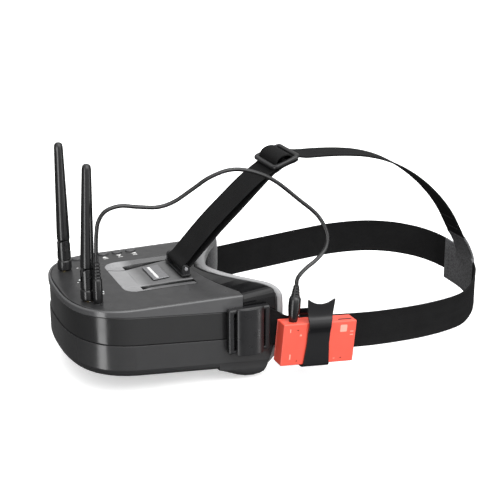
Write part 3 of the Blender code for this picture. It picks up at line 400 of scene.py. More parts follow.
def smooth_path(points, per_span, closed=False):
    """Points along a smooth curve through the given ones."""
    points = [Vector(p) for p in points]
    if closed:
        padded = [points[-1], *points, points[0], points[1]]
    else:
        padded = [2 * points[0] - points[1], *points, 2 * points[-1] - points[-2]]
    path = []
    for a, b, c, d in zip(padded, padded[1:], padded[2:], padded[3:]):
        for step in range(per_span):
            t = step / per_span
            path.append(0.5 * (2 * b + (c - a) * t + (2 * a - 5 * b + 4 * c - d) * t * t
                               + (3 * b - a - 3 * c + d) * t ** 3))
    return path if closed else [*path, points[-1]]


def tangents(path, closed=False):
    count = len(path)
    found = []
    for i in range(count):
        before = path[(i - 1) % count] if closed or i else path[0]
        after = path[(i + 1) % count] if closed or i < count - 1 else path[-1]
        found.append((after - before).normalized())
    return found


def loft(rings, closed=False, coordinates=None, strip_caps=False):
    """A body through rings of equal length. The coordinates, in metres, are laid on as UVs. Strip
    caps suit a ring that runs across one side and back across the other."""
    bm = bmesh.new()
    sheet = bm.loops.layers.uv.new("flat") if coordinates else None
    loops = [[bm.verts.new(point) for point in ring] for ring in rings]
    following = loops[1:] + (loops[:1] if closed else [])
    for row, (first, second) in enumerate(zip(loops, following)):
        count = len(first)
        for i in range(count):
            j = (i + 1) % count
            face = bm.faces.new((first[i], first[j], second[j], second[i]))
            if coordinates:
                places = ((row, i), (row, j), (row + 1, j), (row + 1, i))
                for corner, (r, c) in zip(face.loops, places):
                    corner[sheet].uv = coordinates[r][c]
    if strip_caps:
        for ring in (loops[0], loops[-1]):
            for i in range(len(ring) // 2 - 1):
                bm.faces.new((ring[i], ring[i + 1], ring[-2 - i], ring[-1 - i]))
    elif not closed:
        for cap in (list(reversed(loops[0])), loops[-1]):
            face = bm.faces.new(cap)
            if coordinates:
                row = 0 if cap is not loops[-1] else len(rings) - 1
                for corner in face.loops:
                    corner[sheet].uv = coordinates[row][0]
    bmesh.ops.recalc_face_normals(bm, faces=bm.faces)
    return bm


def circle(count):
    return [(math.cos(math.tau * i / count), math.sin(math.tau * i / count)) for i in range(count)]


def turned(profile):
    """An upright turned body from (radius, height) pairs, rising from the first to the last."""
    return loft([[(radius * x, radius * y, height) for x, y in circle(40)]
                 for radius, height in profile])


def as_mesh(name, bm):
    mesh = bpy.data.meshes.new(name)
    bm.to_mesh(mesh)
    bm.free()
    return mesh


def shaded(name, bm, finish, smooth_angle):
    """A mesh object with a finish, shaded smooth up to the given angle, in degrees."""
    mesh = as_mesh(name, bm)
    mesh.polygons.foreach_set("use_smooth", [True] * len(mesh.polygons))
    mesh.set_sharp_from_angle(angle=math.radians(smooth_angle))
    mesh.materials.append(FINISH[finish])
    obj = bpy.data.objects.new(name, mesh)
    bpy.context.scene.collection.objects.link(obj)
    return obj


def piece(name, bm, finish, stands_for=(), smooth_angle=40.0, place=None):
    """One visible piece of the goggles' own body, made from a shape drawn in millimetres, holding its
    finish's material."""
    if place is not None:
        bmesh.ops.transform(bm, matrix=place, verts=bm.verts)
    for vertex in bm.verts:
        vertex.co = to_model(vertex.co)
    obj = shaded(name, bm, finish, smooth_angle)
    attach(obj, "goggles")
    if stands_for:
        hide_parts(*stands_for)
    return obj


def joined(bodies):
    """Several separate closed bodies held in one mesh."""
    whole = bmesh.new()
    for body in bodies:
        mesh = as_mesh("part", body)
        whole.from_mesh(mesh)
        bpy.data.meshes.remove(mesh)
    return whole


# --- carried-over shapes, smoothed ----------------------------------------------------------

WELD = 2e-6  # metres
FLAT_ANGLE = math.radians(0.6)
NODE_SMOOTH_ANGLE = 34.0
BEVEL_FROM_ANGLE = math.radians(40)


def refined(name, finish, bevel=0.0):
    """A welded copy of a frame node with smooth shading and softened edges, standing for it."""
    node = frame["nodes"][name]
    bm = bmesh.new()
    bm.from_mesh(node.data)
    bmesh.ops.remove_doubles(bm, verts=bm.verts, dist=WELD)
    bmesh.ops.dissolve_limit(bm, angle_limit=FLAT_ANGLE, verts=bm.verts, edges=bm.edges)
    obj = shaded(name + "_finished", bm, finish, NODE_SMOOTH_ANGLE)
    if bevel:
        softened = obj.modifiers.new("soften", "BEVEL")
        softened.width = bevel * MM
        softened.segments = 2
        softened.limit_method = "ANGLE"
        softened.angle_limit = BEVEL_FROM_ANGLE
        softened.harden_normals = True
    weighted = obj.modifiers.new("weighted", "WEIGHTED_NORMAL")
    weighted.keep_sharp = True
    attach(obj, node["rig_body"])
    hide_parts(name)
    return obj


# Nodes whose shape is right as it is, with the width of their softened edges
CARRIED_OVER = (
    ("antenna_base", 0.0), ("antenna_whip", 0.0), ("recorder_back", 0.0), ("recorder_case", 0.0),
    ("strap_anchor", 0.7), ("strap_keeper", 0.45), ("lower_housing", 0.0), ("top_cover", 0.0),
    ("face_hood", 0.0), ("strap_bracket", 0.0), ("bracket_pin", 0.0), ("status_light", 0.0),
    ("menu_button", 0.0),
)
for start, softened_by in CARRIED_OVER:
    for name in sorted(frame["nodes"]):
        if name.startswith(start):
            refined(name, FINISH_OF[start], softened_by)


# --- housing bands --------------------------------------------------------------------------

HALF_WIDTH = 70.6
SIDE_FLARE = 0.026
CORNER_START_Y = -10.0
FRONT_DEPTH = 57.3
CORNER_POWER = 2.8
WALL = 2.4
SEAM_TILT = 0.08
SEAM_LEVEL_Y = -38.0
UPPER_SEAM_Z = -8.3
LOWER_SEAM_Z = -31.35
BAND_REAR_Y = 64.0
BAND_INSET = 0.8
RIM_INSET = 2.2
RIM_RADIUS = 1.2
LEDGE_INSET = 4.2
COVER_THICKNESS = 2.4
CORNER_STEPS = 56
GAP = 0.3


def side_x(y):
    return HALF_WIDTH + SIDE_FLARE * y


def upper_seam(y):
    return UPPER_SEAM_Z - SEAM_TILT * max(y, SEAM_LEVEL_Y)


def lower_seam(y):
    return LOWER_SEAM_Z - SEAM_TILT * y


def outline(inset):
    """The housing's plan, from the rear of the left side round the front to the right side."""
    corner_x = side_x(CORNER_START_Y) - inset
    depth = FRONT_DEPTH - inset
    half = []
    for i in range(6):
        y = BAND_REAR_Y + (CORNER_START_Y - BAND_REAR_Y) * i / 6
        half.append((side_x(y) - inset, y))
    for i in range(CORNER_STEPS + 1):
        angle = math.pi / 2 * i / CORNER_STEPS
        x = corner_x * math.cos(angle) ** (2 / CORNER_POWER) if i < CORNER_STEPS else 0.0
        half.append((x, CORNER_START_Y - depth * math.sin(angle) ** (2 / CORNER_POWER)))
    return half + [(-x, y) for x, y in reversed(half[:-1])]


def band(profile):
    """A wall that follows the housing's sides and front. The profile is (inset, height at y)."""
    plans = {inset: outline(inset) for inset, _ in profile}
    return loft([
        [(*plans[inset][i], height(plans[inset][i][1])) for inset, height in profile]
        for i in range(len(outline(0.0)))
    ])


def level(z):
    return lambda y: z


def seam_edge(seam, lift):
    return lambda y: seam(y) + lift


rim_angles = [math.pi / 2 * i / 6 for i in range(7)]
rim_arc = [(RIM_RADIUS * (1 - math.cos(a)), level(RIM_RADIUS * (math.sin(a) - 1)))
           for a in rim_angles]
piece("upper_band_shell", band([
    (0.45, seam_edge(upper_seam, GAP / 2)), (0.12, seam_edge(upper_seam, GAP / 2 + 0.1)),
    (0.0, seam_edge(upper_seam, GAP / 2 + 0.4)), (0.0, seam_edge(upper_seam, GAP / 2 + 0.8)),
    (0.0, level(-1.7)), *rim_arc,
    (RIM_INSET - 0.6, level(0.0)), (RIM_INSET - 0.15, level(-0.3)), (RIM_INSET, level(-0.7)),
    (RIM_INSET, level(-COVER_THICKNESS - GAP)),
    (LEDGE_INSET, level(-COVER_THICKNESS - GAP)), (LEDGE_INSET, level(-3.9)), (WALL, level(-4.1)),
    (WALL, seam_edge(upper_seam, GAP / 2)),
]), "housing_upper", stands_for=("upper_band",), smooth_angle=50)
piece("middle_band_shell", band([
    (BAND_INSET + 0.3, seam_edge(lower_seam, GAP / 2)), (BAND_INSET, seam_edge(lower_seam, GAP / 2 + 0.3)),
    (BAND_INSET, seam_edge(lower_seam, GAP / 2 + 0.8)),
    (BAND_INSET, seam_edge(upper_seam, -GAP / 2 - 0.8)),
    (BAND_INSET, seam_edge(upper_seam, -GAP / 2 - 0.3)),
    (BAND_INSET + 0.3, seam_edge(upper_seam, -GAP / 2)),
    (BAND_INSET + WALL, seam_edge(upper_seam, -GAP / 2)),
    (BAND_INSET + WALL, seam_edge(lower_seam, GAP / 2)),
]), "housing_dark", stands_for=("middle_band",), smooth_angle=50)


# --- recorder lead and plugs ----------------------------------------------------------------

AV_SOCKET = (46.0, -44.5)
RECORDER_SIZE = (14.0, 64.0, 35.0)
RECORDER_CENTRE = Vector((85.0, 121.0, -42.0))
RECORDER_PITCH = math.radians(-5.3)
PLUG_Y = -21.6
LEAD_RADIUS = 1.6
recorder_turn = Matrix.Translation(RECORDER_CENTRE) @ Matrix.Rotation(RECORDER_PITCH, 4, "X")
half_x, half_y, half_z = (size / 2 for size in RECORDER_SIZE)


def on_recorder(x, y, z):
    return tuple(recorder_turn @ Vector((x, y, z)))


LEAD_ROUTE = (
    (46.0, -44.5, 33.9), (46.0, -44.4, 45), (46.0, -43.6, 56), (46.2, -41.8, 65.5),
    (46.8, -36.0, 73.2), (48, -25, 76.2), (49.5, -11, 74.2), (51.5, 3.5, 73.0), (53.5, 16, 76.6),
    (56, 30, 85.6), (59, 42.5, 94.0), (62, 58, 99.0), (64, 74, 96.8), (67, 92, 88.4),
    (70, 112, 71.5), (73.5, 126.5, 58.0), (77, 133.0, 44.0), (80, 131.0, 33.2), (82.4, 122.5, 25.5),
    (84.0, 113.0, 20.2), (84.8, 106.6, 15.2), on_recorder(0, PLUG_Y, half_z + 34.0),
    on_recorder(0, PLUG_Y, half_z + 30.0),
)


def ribs(bottom, top, wide, narrow, count):
    """A strain relief: rounded ribs that get smaller towards the lead."""
    pairs = []
    step = (top - bottom) / count
    for i in range(count):
        radius = wide + (narrow - wide) * i / (count - 1)
        base = bottom + step * i
        pairs += [(radius - 0.12, base + 0.06 * step), (radius, base + 0.18 * step),
                  (radius, base + 0.52 * step), (radius - 0.12, base + 0.64 * step),
                  (radius - 0.45, base + 0.70 * step), (radius - 0.45, base + 0.96 * step)]
    return pairs


goggle_plug = piece("goggle_plug_moulded", turned(
    ((0.6, -9.8), (1.2, -9.7), (1.75, -9.0), (1.75, 1.3), (3.2, 1.3), (3.55, 1.5), (3.7, 1.95),
     (3.8, 6.0), (3.8, 12.0), (3.7, 19.0), (3.55, 19.8), (3.1, 20.4), (2.9, 20.7),
     *ribs(20.8, 33.6, 3.1, 2.4, 5))),
    "cord", stands_for=("goggle_plug",), place=Matrix.Translation((*AV_SOCKET, 0)))
recorder_plug = piece("recorder_plug_moulded", turned(
    ((0.6, -7.6), (1.2, -7.5), (1.75, -6.8), (1.75, 0.3), (3.0, 0.3), (3.35, 0.5), (3.5, 1.0),
     (4.05, 4.5), (4.5, 8.0), (4.8, 11.0), (4.9, 13.0), (4.85, 16.0), (4.7, 18.5), (4.35, 19.7),
     (3.8, 20.5), *ribs(20.8, 29.6, 3.5, 2.5, 4))),
    "cord", stands_for=("recorder_plug",),
    place=recorder_turn @ Matrix.Translation((0, PLUG_Y, half_z)))


def add_lead():
    """The lead as one smooth spline through its route."""
    curve = bpy.data.curves.new("av_lead_cord", "CURVE")
    curve.dimensions = "3D"
    curve.bevel_depth = LEAD_RADIUS * MM
    curve.bevel_resolution = 6
    curve.resolution_u = 8
    curve.use_fill_caps = True
    spline = curve.splines.new("BEZIER")
    spline.bezier_points.add(len(LEAD_ROUTE) - 1)
    route = [Vector(point) for point in LEAD_ROUTE]
    padded = [2 * route[0] - route[1], *route, 2 * route[-1] - route[-2]]
    for knot, before, here, after in zip(spline.bezier_points, padded, route, padded[2:]):
        lean = (after - before) / 6
        knot.handle_left_type = "FREE"
        knot.handle_right_type = "FREE"
        knot.co = to_model(here)
        knot.handle_left = to_model(here - lean)
        knot.handle_right = to_model(here + lean)
    curve.materials.append(FINISH["cord"])
    obj = bpy.data.objects.new("av_lead_cord", curve)
    bpy.context.scene.collection.objects.link(obj)
    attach(obj, "goggles")
    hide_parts("av_lead")


add_lead()


# --- recorder clip --------------------------------------------------------------------------

CLIP_Y = -1.5
CLIP_HALF_THICKNESS = 0.65
CLIP_HALF_WIDTH = 9.8
TAB_FLARE = 2.2
FOOT_FLARE = 1.6
TAB_RISE = 20.3
TAB_START = 3.0
NOTCH_RADIUS = 16.0
NOTCH_RISE = 31.4


def clip_path():
    """The clip seen along the strap, from the thumb tab over its bend and round underneath."""
    front = half_x + 1.0
    back = -half_x - 3.1
    return ((front - 1.5, half_z + TAB_RISE), (front - 1.4, half_z + 12), (front - 1.0, half_z + 6),
            (front + 0.1, half_z + TAB_START), (front + 0.9, half_z), (front + 1.0, half_z - 3),
            (front + 0.4, half_z - 6), (front, half_z - 9), (front, 0), (front, -half_z + 2),
            (front - 0.6, -half_z - 0.6), (front - 3.4, -half_z - 1.9), (0, -half_z - 2.1),
            (back + 3.2, -half_z - 1.9), (back + 0.7, -half_z - 0.8), (back, -half_z + 3),
            (back, 0), (back - 0.1, half_z - 2), (back - 0.3, half_z + 3), (back - 1.2, half_z + 6))


def clip_half_width(z):
    above = max(0.0, z - half_z) / TAB_RISE
    below = max(0.0, -z) / half_z
    return CLIP_HALF_WIDTH + TAB_FLARE * min(1.0, above) ** 0.7 + FOOT_FLARE * below


def clip_body():
    """The sprung clip, as strips across, with the thumb tab's edge cut to a round notch."""
    shares = (-1.0, -0.97, -0.9, -0.75, -0.5, -0.25, 0.0, 0.25, 0.5, 0.75, 0.9, 0.97, 1.0)
    path = smooth_path([(x, 0, z) for x, z in clip_path()], 6)
    rings = []
    for point, along in zip(path, tangents(path)):
        face = along.cross(Vector((0, 1, 0)))
        half = clip_half_width(point.z)
        on_tab = point.z > half_z + TAB_START and point.x > 0
        ring = []
        for side in (1, -1):
            for share in shares if side == 1 else tuple(reversed(shares)):
                thin = 0.45 if abs(share) == 1.0 else 1.0
                y = share * half
                place = point + face * (side * CLIP_HALF_THICKNESS * thin)
                z = place.z
                if on_tab:
                    top = min(TAB_RISE, NOTCH_RISE - math.sqrt(NOTCH_RADIUS ** 2 - y ** 2))
                    top -= 1.4 * max(0.0, (abs(share) - 0.85) / 0.15) ** 2
                    base = half_z + TAB_START
                    z = base + (z - base) * (top - TAB_START) / (TAB_RISE - TAB_START)
                ring.append((place.x, CLIP_Y + y, z))
        rings.append(ring)
    return loft(rings, strip_caps=True)


piece("recorder_clip_sprung", clip_body(), "clip", stands_for=("recorder_clip",),
      smooth_angle=45, place=recorder_turn)


# --- webbing --------------------------------------------------------------------------------

WEBBING_WIDTH = 30.0
WEBBING_THICKNESS = 1.8
CROWN_FRONT_WIDTH = 34.0
CROWN_REAR_WIDTH = 27.5
CROWN_THICKNESS = 1.5
ANCHOR_Y = (49.5, 84.5)
ANCHOR_Z = (-45.5, -8.5)
BRACKET_PIN = (36.0, 8.2)
PIN_RADIUS = 1.5
PIN_SLACK = 0.4
GLIDE_CENTRE = (0.0, 123.5, 88.0)
GLIDE_PITCH = math.radians(20.0)

ANCHOR_THREAD = (
    (74.2, 50.0), (74.2, 55.5), (76.2, 59.0), (79.4, 61.6), (81.1, 64.2), (81.35, 67.0),
    (81.1, 69.8), (79.4, 72.4), (76.2, 75.0), (74.3, 79.0),
)
LEFT_RUN = (
    (74.3, 85.5, -27.8), (75.3, 91.5, -31.0), (76.3, 98, -35.0), (76.6, 106, -37.4),
    (76.6, 124, -39.3), (76.6, 150, -42.0), (76.4, 175, -44.2), (75.5, 200, -45.5),
    (73, 225, -46.6), (67.5, 251, -47.5), (58, 274.5, -48.2), (45, 292, -45.6), (30.5, 303.6, -41.3),
    (20.6, 308.3, -38.5),
)
RIGHT_RUN = (
    (-74.3, 86, -26.8), (-75.2, 100, -26.0), (-76, 125, -24.2), (-76.5, 150, -22.6),
    (-76.5, 180, -20.3), (-75.5, 212, -18.2), (-72, 243.5, -18.2), (-65.5, 270.5, -20.7),
    (-54.5, 292, -24.6), (-43, 304.6, -28.4), (-31.7, 311.0, -31.2),
)
PATCH_RUN = ((20.0, 308.6, -38.4), (8, 312.4, -36.6), (-8, 314.4, -34.4), (-31.0, 311.3, -31.3))
PATCH_LEG = ((0, 301.2, -1.4), (0, 306.2, -9), (0, 311.3, -20), (0, 313.2, -30))

# Across the strap as shares of its half width, and up as shares of its half thickness
FLAT_SECTION = ((1.0, 0.0), (0.99, 0.75), (0.965, 1.0), (0.93, 0.86), (0.5, 0.86), (0.0, 0.86),
                (-0.5, 0.86), (-0.93, 0.86), (-0.965, 1.0), (-0.99, 0.75), (-1.0, 0.0),
                (-0.99, -0.75), (-0.965, -1.0), (-0.93, -0.86), (-0.5, -0.86), (0.0, -0.86),
                (0.5, -0.86), (0.93, -0.86), (0.965, -1.0), (0.99, -0.75))
PAD_SECTION = ((1.0, 0.0), (0.992, 0.5), (0.97, 0.85), (0.93, 0.98), (0.87, 0.8), (0.8, 0.95),
               (0.4, 1.0), (0.0, 1.0), (-0.4, 1.0), (-0.8, 0.95), (-0.87, 0.8), (-0.93, 0.98),
               (-0.97, 0.85), (-0.992, 0.5), (-1.0, 0.0), (-0.99, -0.8), (-0.95, -1.0),
               (-0.4, -1.0), (0.4, -1.0), (0.95, -1.0), (0.99, -0.8))


def strap(path, across, width, thickness, section=FLAT_SECTION, offset=0.0):
    """Webbing along a path, lying across the given direction, with its flat size as its UVs."""
    rings, coordinates = [], []
    run = 0.0
    before = path[0]
    for point, along in zip(path, tangents(path)):
        run += (point - before).length
        before = point
        face = along.cross(across).normalized()
        half = (width(point) if callable(width) else width) / 2
        middle = point + across * offset
        rings.append([middle + across * (u * half) + face * (v * thickness / 2)
                      for u, v in section])
        coordinates.append([(u * half * MM, run * MM) for u, v in section])
    return loft(rings, coordinates=coordinates)


patch_path = smooth_path(PATCH_RUN, 12)
leg_path = smooth_path(PATCH_LEG, 8)
SEWN_IN = 5  # steps of the patch's path that each strap runs on for, inside the leather


def side_strap(run, sign, sewn):
    height = (ANCHOR_Z[0] + ANCHOR_Z[1]) / 2
    thread = [(sign * x, y, height) for x, y in ANCHOR_THREAD]
    inside = {tuple(point) for point in sewn}
    return strap([*smooth_path([*thread, *run], 6), *sewn], Z_AXIS,
                 lambda point: WEBBING_WIDTH - (2.0 if tuple(point) in inside else 0.0),
                 WEBBING_THICKNESS)


piece("side_webbing_left", side_strap(LEFT_RUN, 1, patch_path[1:SEWN_IN]), "webbing",
      stands_for=("side_strap_left",))
piece("side_webbing_right", side_strap(RIGHT_RUN, -1, patch_path[-2:-SEWN_IN - 1:-1]), "webbing",
      stands_for=("side_strap_right",))


def on_glide(along, lift):
    """A point in the crown buckle's own plane, along the strap and above it."""
    turn_y, turn_z = math.cos(GLIDE_PITCH), math.sin(GLIDE_PITCH)
    return (0.0, GLIDE_CENTRE[1] + along * turn_y - lift * turn_z,
            GLIDE_CENTRE[2] + along * turn_z + lift * turn_y)


PIN_WRAP = PIN_RADIUS + PIN_SLACK + CROWN_THICKNESS / 2
loop_points = [(0, BRACKET_PIN[0] + PIN_WRAP * math.cos(math.radians(a)),
                BRACKET_PIN[1] + PIN_WRAP * math.sin(math.radians(a)))
               for a in (140, 185, 230, 275, 310)]
CROWN_RUN = (
    (0, 300.8, -0.8), (0, 295.8, 8.5), (0, 287.5, 23), (0, 275.8, 38), (0, 260.5, 53),
    (0, 243, 66), (0, 223, 76.6), (0, 203, 83.0), (0, 183, 86.2), (0, 164, 87.6),
    (0, 146, 88.2),
    on_glide(13.4, -3.2), on_glide(10.6, -2.8), on_glide(8.2, 0.0), on_glide(5.6, 3.0),
    on_glide(2.2, 4.5), on_glide(-2.2, 4.7), on_glide(-5.8, 3.2), on_glide(-8.2, 0.0),
    on_glide(-10.6, -2.9), on_glide(-13.4, -3.9), (0, 98.7, 70.6), (0, 80.4, 55.0),
    (0, 62.7, 38.9), (0, 45.8, 21.4), (0, 38.6, 13.4), *loop_points,
    (0, 41.5, 9.4), (0, 48.5, 16.3), (0, 66.7, 34.5), (0, 84.6, 51.0), (0, 101.8, 67.2),
    on_glide(-13.4, -6.3), on_glide(-8.5, -5.4), on_glide(-3.0, -4.2), on_glide(2.0, -4.2),
    on_glide(7.0, -4.5), on_glide(12.4, -5.2),
)
crown_path = [*leg_path[SEWN_IN - 1:0:-1], *smooth_path(CROWN_RUN, 5)]


def crown_width(point):
    """The loop ahead of the buckle is made of wider webbing than the run behind it."""
    share = min(1.0, max(0.0, (point.y - GLIDE_CENTRE[1] - 9.5) / 5.0))
    return CROWN_FRONT_WIDTH + (CROWN_REAR_WIDTH - CROWN_FRONT_WIDTH) * share


piece("crown_webbing", strap(crown_path, X_AXIS, crown_width, CROWN_THICKNESS),
      "webbing", stands_for=("crown_strap",))


def rounded_rectangle(half_across, half_along, corner, count=7):
    points = []
    for quarter, (sx, sy) in enumerate(((1, 1), (-1, 1), (-1, -1), (1, -1))):
        for i in range(count + 1):
            angle = math.pi / 2 * (quarter + i / count)
            points.append((sx * (half_across - corner) + corner * math.cos(angle),
                           sy * (half_along - corner) + corner * math.sin(angle)))
    return points


def united(first, second):
    """Two closed bodies made into one."""
    held = [bpy.data.objects.new("part", as_mesh("part", body)) for body in (first, second)]
    for obj in held:
        bpy.context.scene.collection.objects.link(obj)
    modifier = held[0].modifiers.new("unite", "BOOLEAN")
    modifier.operation = "UNION"
    modifier.solver = "EXACT"
    modifier.object = held[1]
    graph = bpy.context.evaluated_depsgraph_get()
    result = bpy.data.meshes.new_from_object(held[0].evaluated_get(graph))
    whole = bmesh.new()
    whole.from_mesh(result)
    for obj in held:
        bpy.data.objects.remove(obj)
    return whole


def glide_body():
    """The buckle: a rounded frame with a bar across its middle."""
    section = ((0.0, 0.0), (0.15, 0.8), (0.6, 1.35), (1.3, 1.5), (2.9, 1.5), (3.6, 1.2), (4.0, 0.5),
               (4.0, -0.9), (3.5, -1.5), (0.8, -1.5), (0.2, -1.1))
    plans = [rounded_rectangle(21.6 - inset, 13.2 - inset, max(5.0 - inset, 1.4))
             for inset, _ in section]
    frame_ring = loft([[(*plan[i], height) for plan, (_, height) in zip(plans, section)]
                       for i in range(len(plans[0]))], closed=True)
    bar = loft([[(x, y, z) for y, z in ((1.7, 0.6), (1.2, 1.2), (-1.2, 1.2), (-1.7, 0.6),
                                        (-1.7, -0.9), (-1.2, -1.3), (1.2, -1.3), (1.7, -0.9))]
                for x in (-18.6, 18.6)])
    return united(frame_ring, bar)


piece("crown_buckle", glide_body(), "buckle", stands_for=("crown_glide",),
      place=Matrix.Translation(GLIDE_CENTRE) @ Matrix.Rotation(GLIDE_PITCH, 4, "X"))

LEG_WIDTH = CROWN_REAR_WIDTH + 1.0
LEG_THICKNESS = 2.2
PATCH_WIDTH = 39.0
PATCH_THICKNESS = 2.4
PATCH_OFFSET = -4.5
piece("rear_patch_leather", joined([
    strap(patch_path, Z_AXIS, PATCH_WIDTH, PATCH_THICKNESS, PAD_SECTION, PATCH_OFFSET),
    strap(leg_path, X_AXIS, LEG_WIDTH, LEG_THICKNESS, PAD_SECTION),
]), "patch", stands_for=("rear_patch",))


# --- stitching ------------------------------------------------------------------------------


STITCH_LENGTH = 2.4
STITCH_GAP = 1.1
THREAD_RADIUS = 0.28


def stitch(start, end, out):
    """One sewn stitch: a short thread that rises from one hole and dips into the next."""
    start, end = Vector(start), Vector(end)
    along = (end - start).normalized()
    aside = along.cross(out).normalized()
    rings = []
    for share, lift, size in ((0.0, -0.25, 0.55), (0.12, 0.05, 0.95), (0.5, 0.16, 1.0),
                              (0.88, 0.05, 0.95), (1.0, -0.25, 0.55)):
        centre = start.lerp(end, share) + out * lift
        rings.append([centre + (aside * x + out * y) * THREAD_RADIUS * size for x, y in circle(6)])
    return loft(rings)


def seam(points, outs):
    """A row of stitches along points that lie on a surface."""
    distances = [0.0]
    for a, b in zip(points, points[1:]):
        distances.append(distances[-1] + (b - a).length)

    def at(distance):
        for i in range(1, len(points)):
            if distance <= distances[i]:
                share = (distance - distances[i - 1]) / max(1e-9, distances[i] - distances[i - 1])
                return points[i - 1].lerp(points[i], share), outs[i - 1].lerp(outs[i], share)
        return points[-1], outs[-1]

    made = []
    here = STITCH_GAP / 2
    while here + STITCH_LENGTH < distances[-1]:
        start, out = at(here)
        end, _ = at(here + STITCH_LENGTH)
        made.append(stitch(start, end, out.normalized()))
        here += STITCH_LENGTH + STITCH_GAP
    return made


def edge_seams(path, across, half, thickness, offset=0.0):
    """Rows of stitches just inside a band's long edges, on its two faces."""
    made = []
    turns = [along.cross(across).normalized() for along in tangents(path)]
    for side in (1, -1):
        for face in (1, -1):
            points = [p + across * (offset + side * half) + n * face * thickness / 2
                      for p, n in zip(path, turns)]
            made += seam(points, [n * face for n in turns])
    return made


def cross_seam(point, along, across, half, lift, face):
    """A row of stitches straight across a band."""
    normal = along.cross(across).normalized() * face
    steps = [point + across * (half * (2 * i / 8 - 1)) + normal * lift for i in range(9)]
    return seam(steps, [normal] * 9)


def patch_stitching():
    """Rows along the patch's and its leg's long edges, and across their ends."""
    made = []
    for path, sewn, ends, across, width, thickness, offset in (
            (patch_path, patch_path, (3, -4), Z_AXIS, PATCH_WIDTH, PATCH_THICKNESS, PATCH_OFFSET),
            (leg_path, leg_path[:-6], (2,), X_AXIS, LEG_WIDTH, LEG_THICKNESS, 0.0)):
        made += edge_seams(sewn, across, width / 2 * 0.87, thickness * 0.84, offset)
        turns = tangents(path)
        for index in ends:
            for face in (1, -1):
                made += cross_seam(path[index] + across * offset, turns[index], across,
                                   width / 2 * 0.84, thickness / 2, face)
    return made


piece("patch_stitching", joined(patch_stitching()), "thread")


def crown_stitching():
    """Two rows across the crown strap, just above the patch's leg."""
    turns = tangents(crown_path)
    made = []
    for index in (8, 12):
        for face in (1, -1):
            made += cross_seam(crown_path[index], turns[index], X_AXIS, CROWN_REAR_WIDTH / 2 - 2.5,
                               CROWN_THICKNESS / 2, face)
    return made


piece("crown_stitching", joined(crown_stitching()), "thread")


# --- face foam ------------------------------------------------------------------------------

BROW_Y = 62.0
TEMPLE_SWEEP = 35.5
TEMPLE_X = 70.0
SWEEP_POWER = 1.5
BROW_FOAM = 9.0
TEMPLE_FOAM = 5.0
FOAM_WIDTH = 11.0
CARRIER_THICKNESS = 2.0
CHEEK_START_Z = -25.0
CHEEK_LEAN = 4.6
FACE_OUTLINE = (
    (0, 1.8), (30, 2.6), (52, 3.6), (65, 2.8), (71.2, -2.8), (72.5, -12), (72.3, -38),
    (71.2, -54), (66.5, -65), (58, -69.5), (47, -68.0), (37, -62), (26, -57), (13, -54.5),
    (0, -53.5),
)


def foam_thickness(x):
    return BROW_FOAM + (TEMPLE_FOAM - BROW_FOAM) * min(1.0, abs(x) / TEMPLE_X) ** 2


def carrier_front_y(x, z):
    lean = CHEEK_LEAN * max(0.0, (CHEEK_START_Z - z) / 30.0) ** 2
    face = BROW_Y + TEMPLE_SWEEP * (abs(x) / TEMPLE_X) ** SWEEP_POWER
    return face - foam_thickness(x) - CARRIER_THICKNESS - 2 * GAP - lean


# Distance inwards from the outline, share of the foam's thickness, and 1 where the cloth is dark
FOAM_SECTION = (
    (0.2, 0.0, 0), (-0.25, 0.12, 0), (-0.5, 0.3, 0), (-0.5, 0.5, 0), (-0.3, 0.68, 0),
    (0.25, 0.83, 0), (0.8, 0.87, 0), (1.15, 0.84, 0), (1.6, 0.91, 0.2), (2.6, 0.98, 0.8),
    (4.2, 1.02, 1), (6.2, 1.03, 1), (8.2, 0.99, 1), (9.8, 0.88, 1), (10.7, 0.7, 1),
    (11.0, 0.45, 1), (11.0, 0.0, 1),
)


def add_foam():
    """The padded ring round the face opening, with a sewn channel where its two cloths meet."""
    whole = [*FACE_OUTLINE, *((-x, z) for x, z in reversed(FACE_OUTLINE[1:-1]))]
    loop = smooth_path([(x, 0, z) for x, z in whole], 6, closed=True)
    directions = [Vector((t.z, 0, -t.x)) for t in tangents(loop, closed=True)]
    sign = 1 if directions[0].z < 0 else -1
    rings = []
    for index, (point, direction) in enumerate(zip(loop, directions)):
        swell = 0.12 * math.sin(index * 0.35) + 0.08 * math.sin(index * 0.83 + 1.0)
        ring = []
        for distance, share, _ in FOAM_SECTION:
            place = point + direction * (sign * distance)
            thickness = foam_thickness(place.x)
            front = carrier_front_y(place.x, place.z) + CARRIER_THICKNESS + GAP
            ring.append((place.x, front + share * thickness + share * swell, place.z))
        rings.append(ring)
    bm = loft(rings, closed=True)
    obj = piece("face_foam_pad", bm, "face_foam", stands_for=("face_foam",), smooth_angle=75)
    facing = obj.data.color_attributes.new("facing", "FLOAT_COLOR", "POINT")
    for index, value in enumerate(facing.data):
        dark = FOAM_SECTION[index % len(FOAM_SECTION)][2]
        value.color = (dark, dark, dark, 1.0)


add_foam()


# --- printed marks --------------------------------------------------------------------------


def cover_rise(x, y):
    """The height of the top cover, which crowns gently behind its front edge."""
    share = max(0.0, 1 - (abs(x) / 66) ** 2)
    return 0.2 + 1.3 * share * min(1.0, max(0.0, (y + 62) / 30))


def flat_mark(outline, height):
    """A thin raised print in the shape of an outline, lying on a surface given by its height."""
    return loft([[(x, y, height(x, y) + lift) for x, y in outline] for lift in (0.03, 0.06)])


def placed(outline, centre, angle=0.0, size=1.0):
    cos, sin = math.cos(angle) * size, math.sin(angle) * size
    return [(centre[0] + x * cos - y * sin, centre[1] + x * sin + y * cos) for x, y in outline]


TRIANGLE = ((-1.0, -0.9), (1.0, -0.9), (0.0, 0.9))
BAR = ((-0.8, -0.2), (0.8, -0.2), (0.8, 0.2), (-0.8, 0.2))


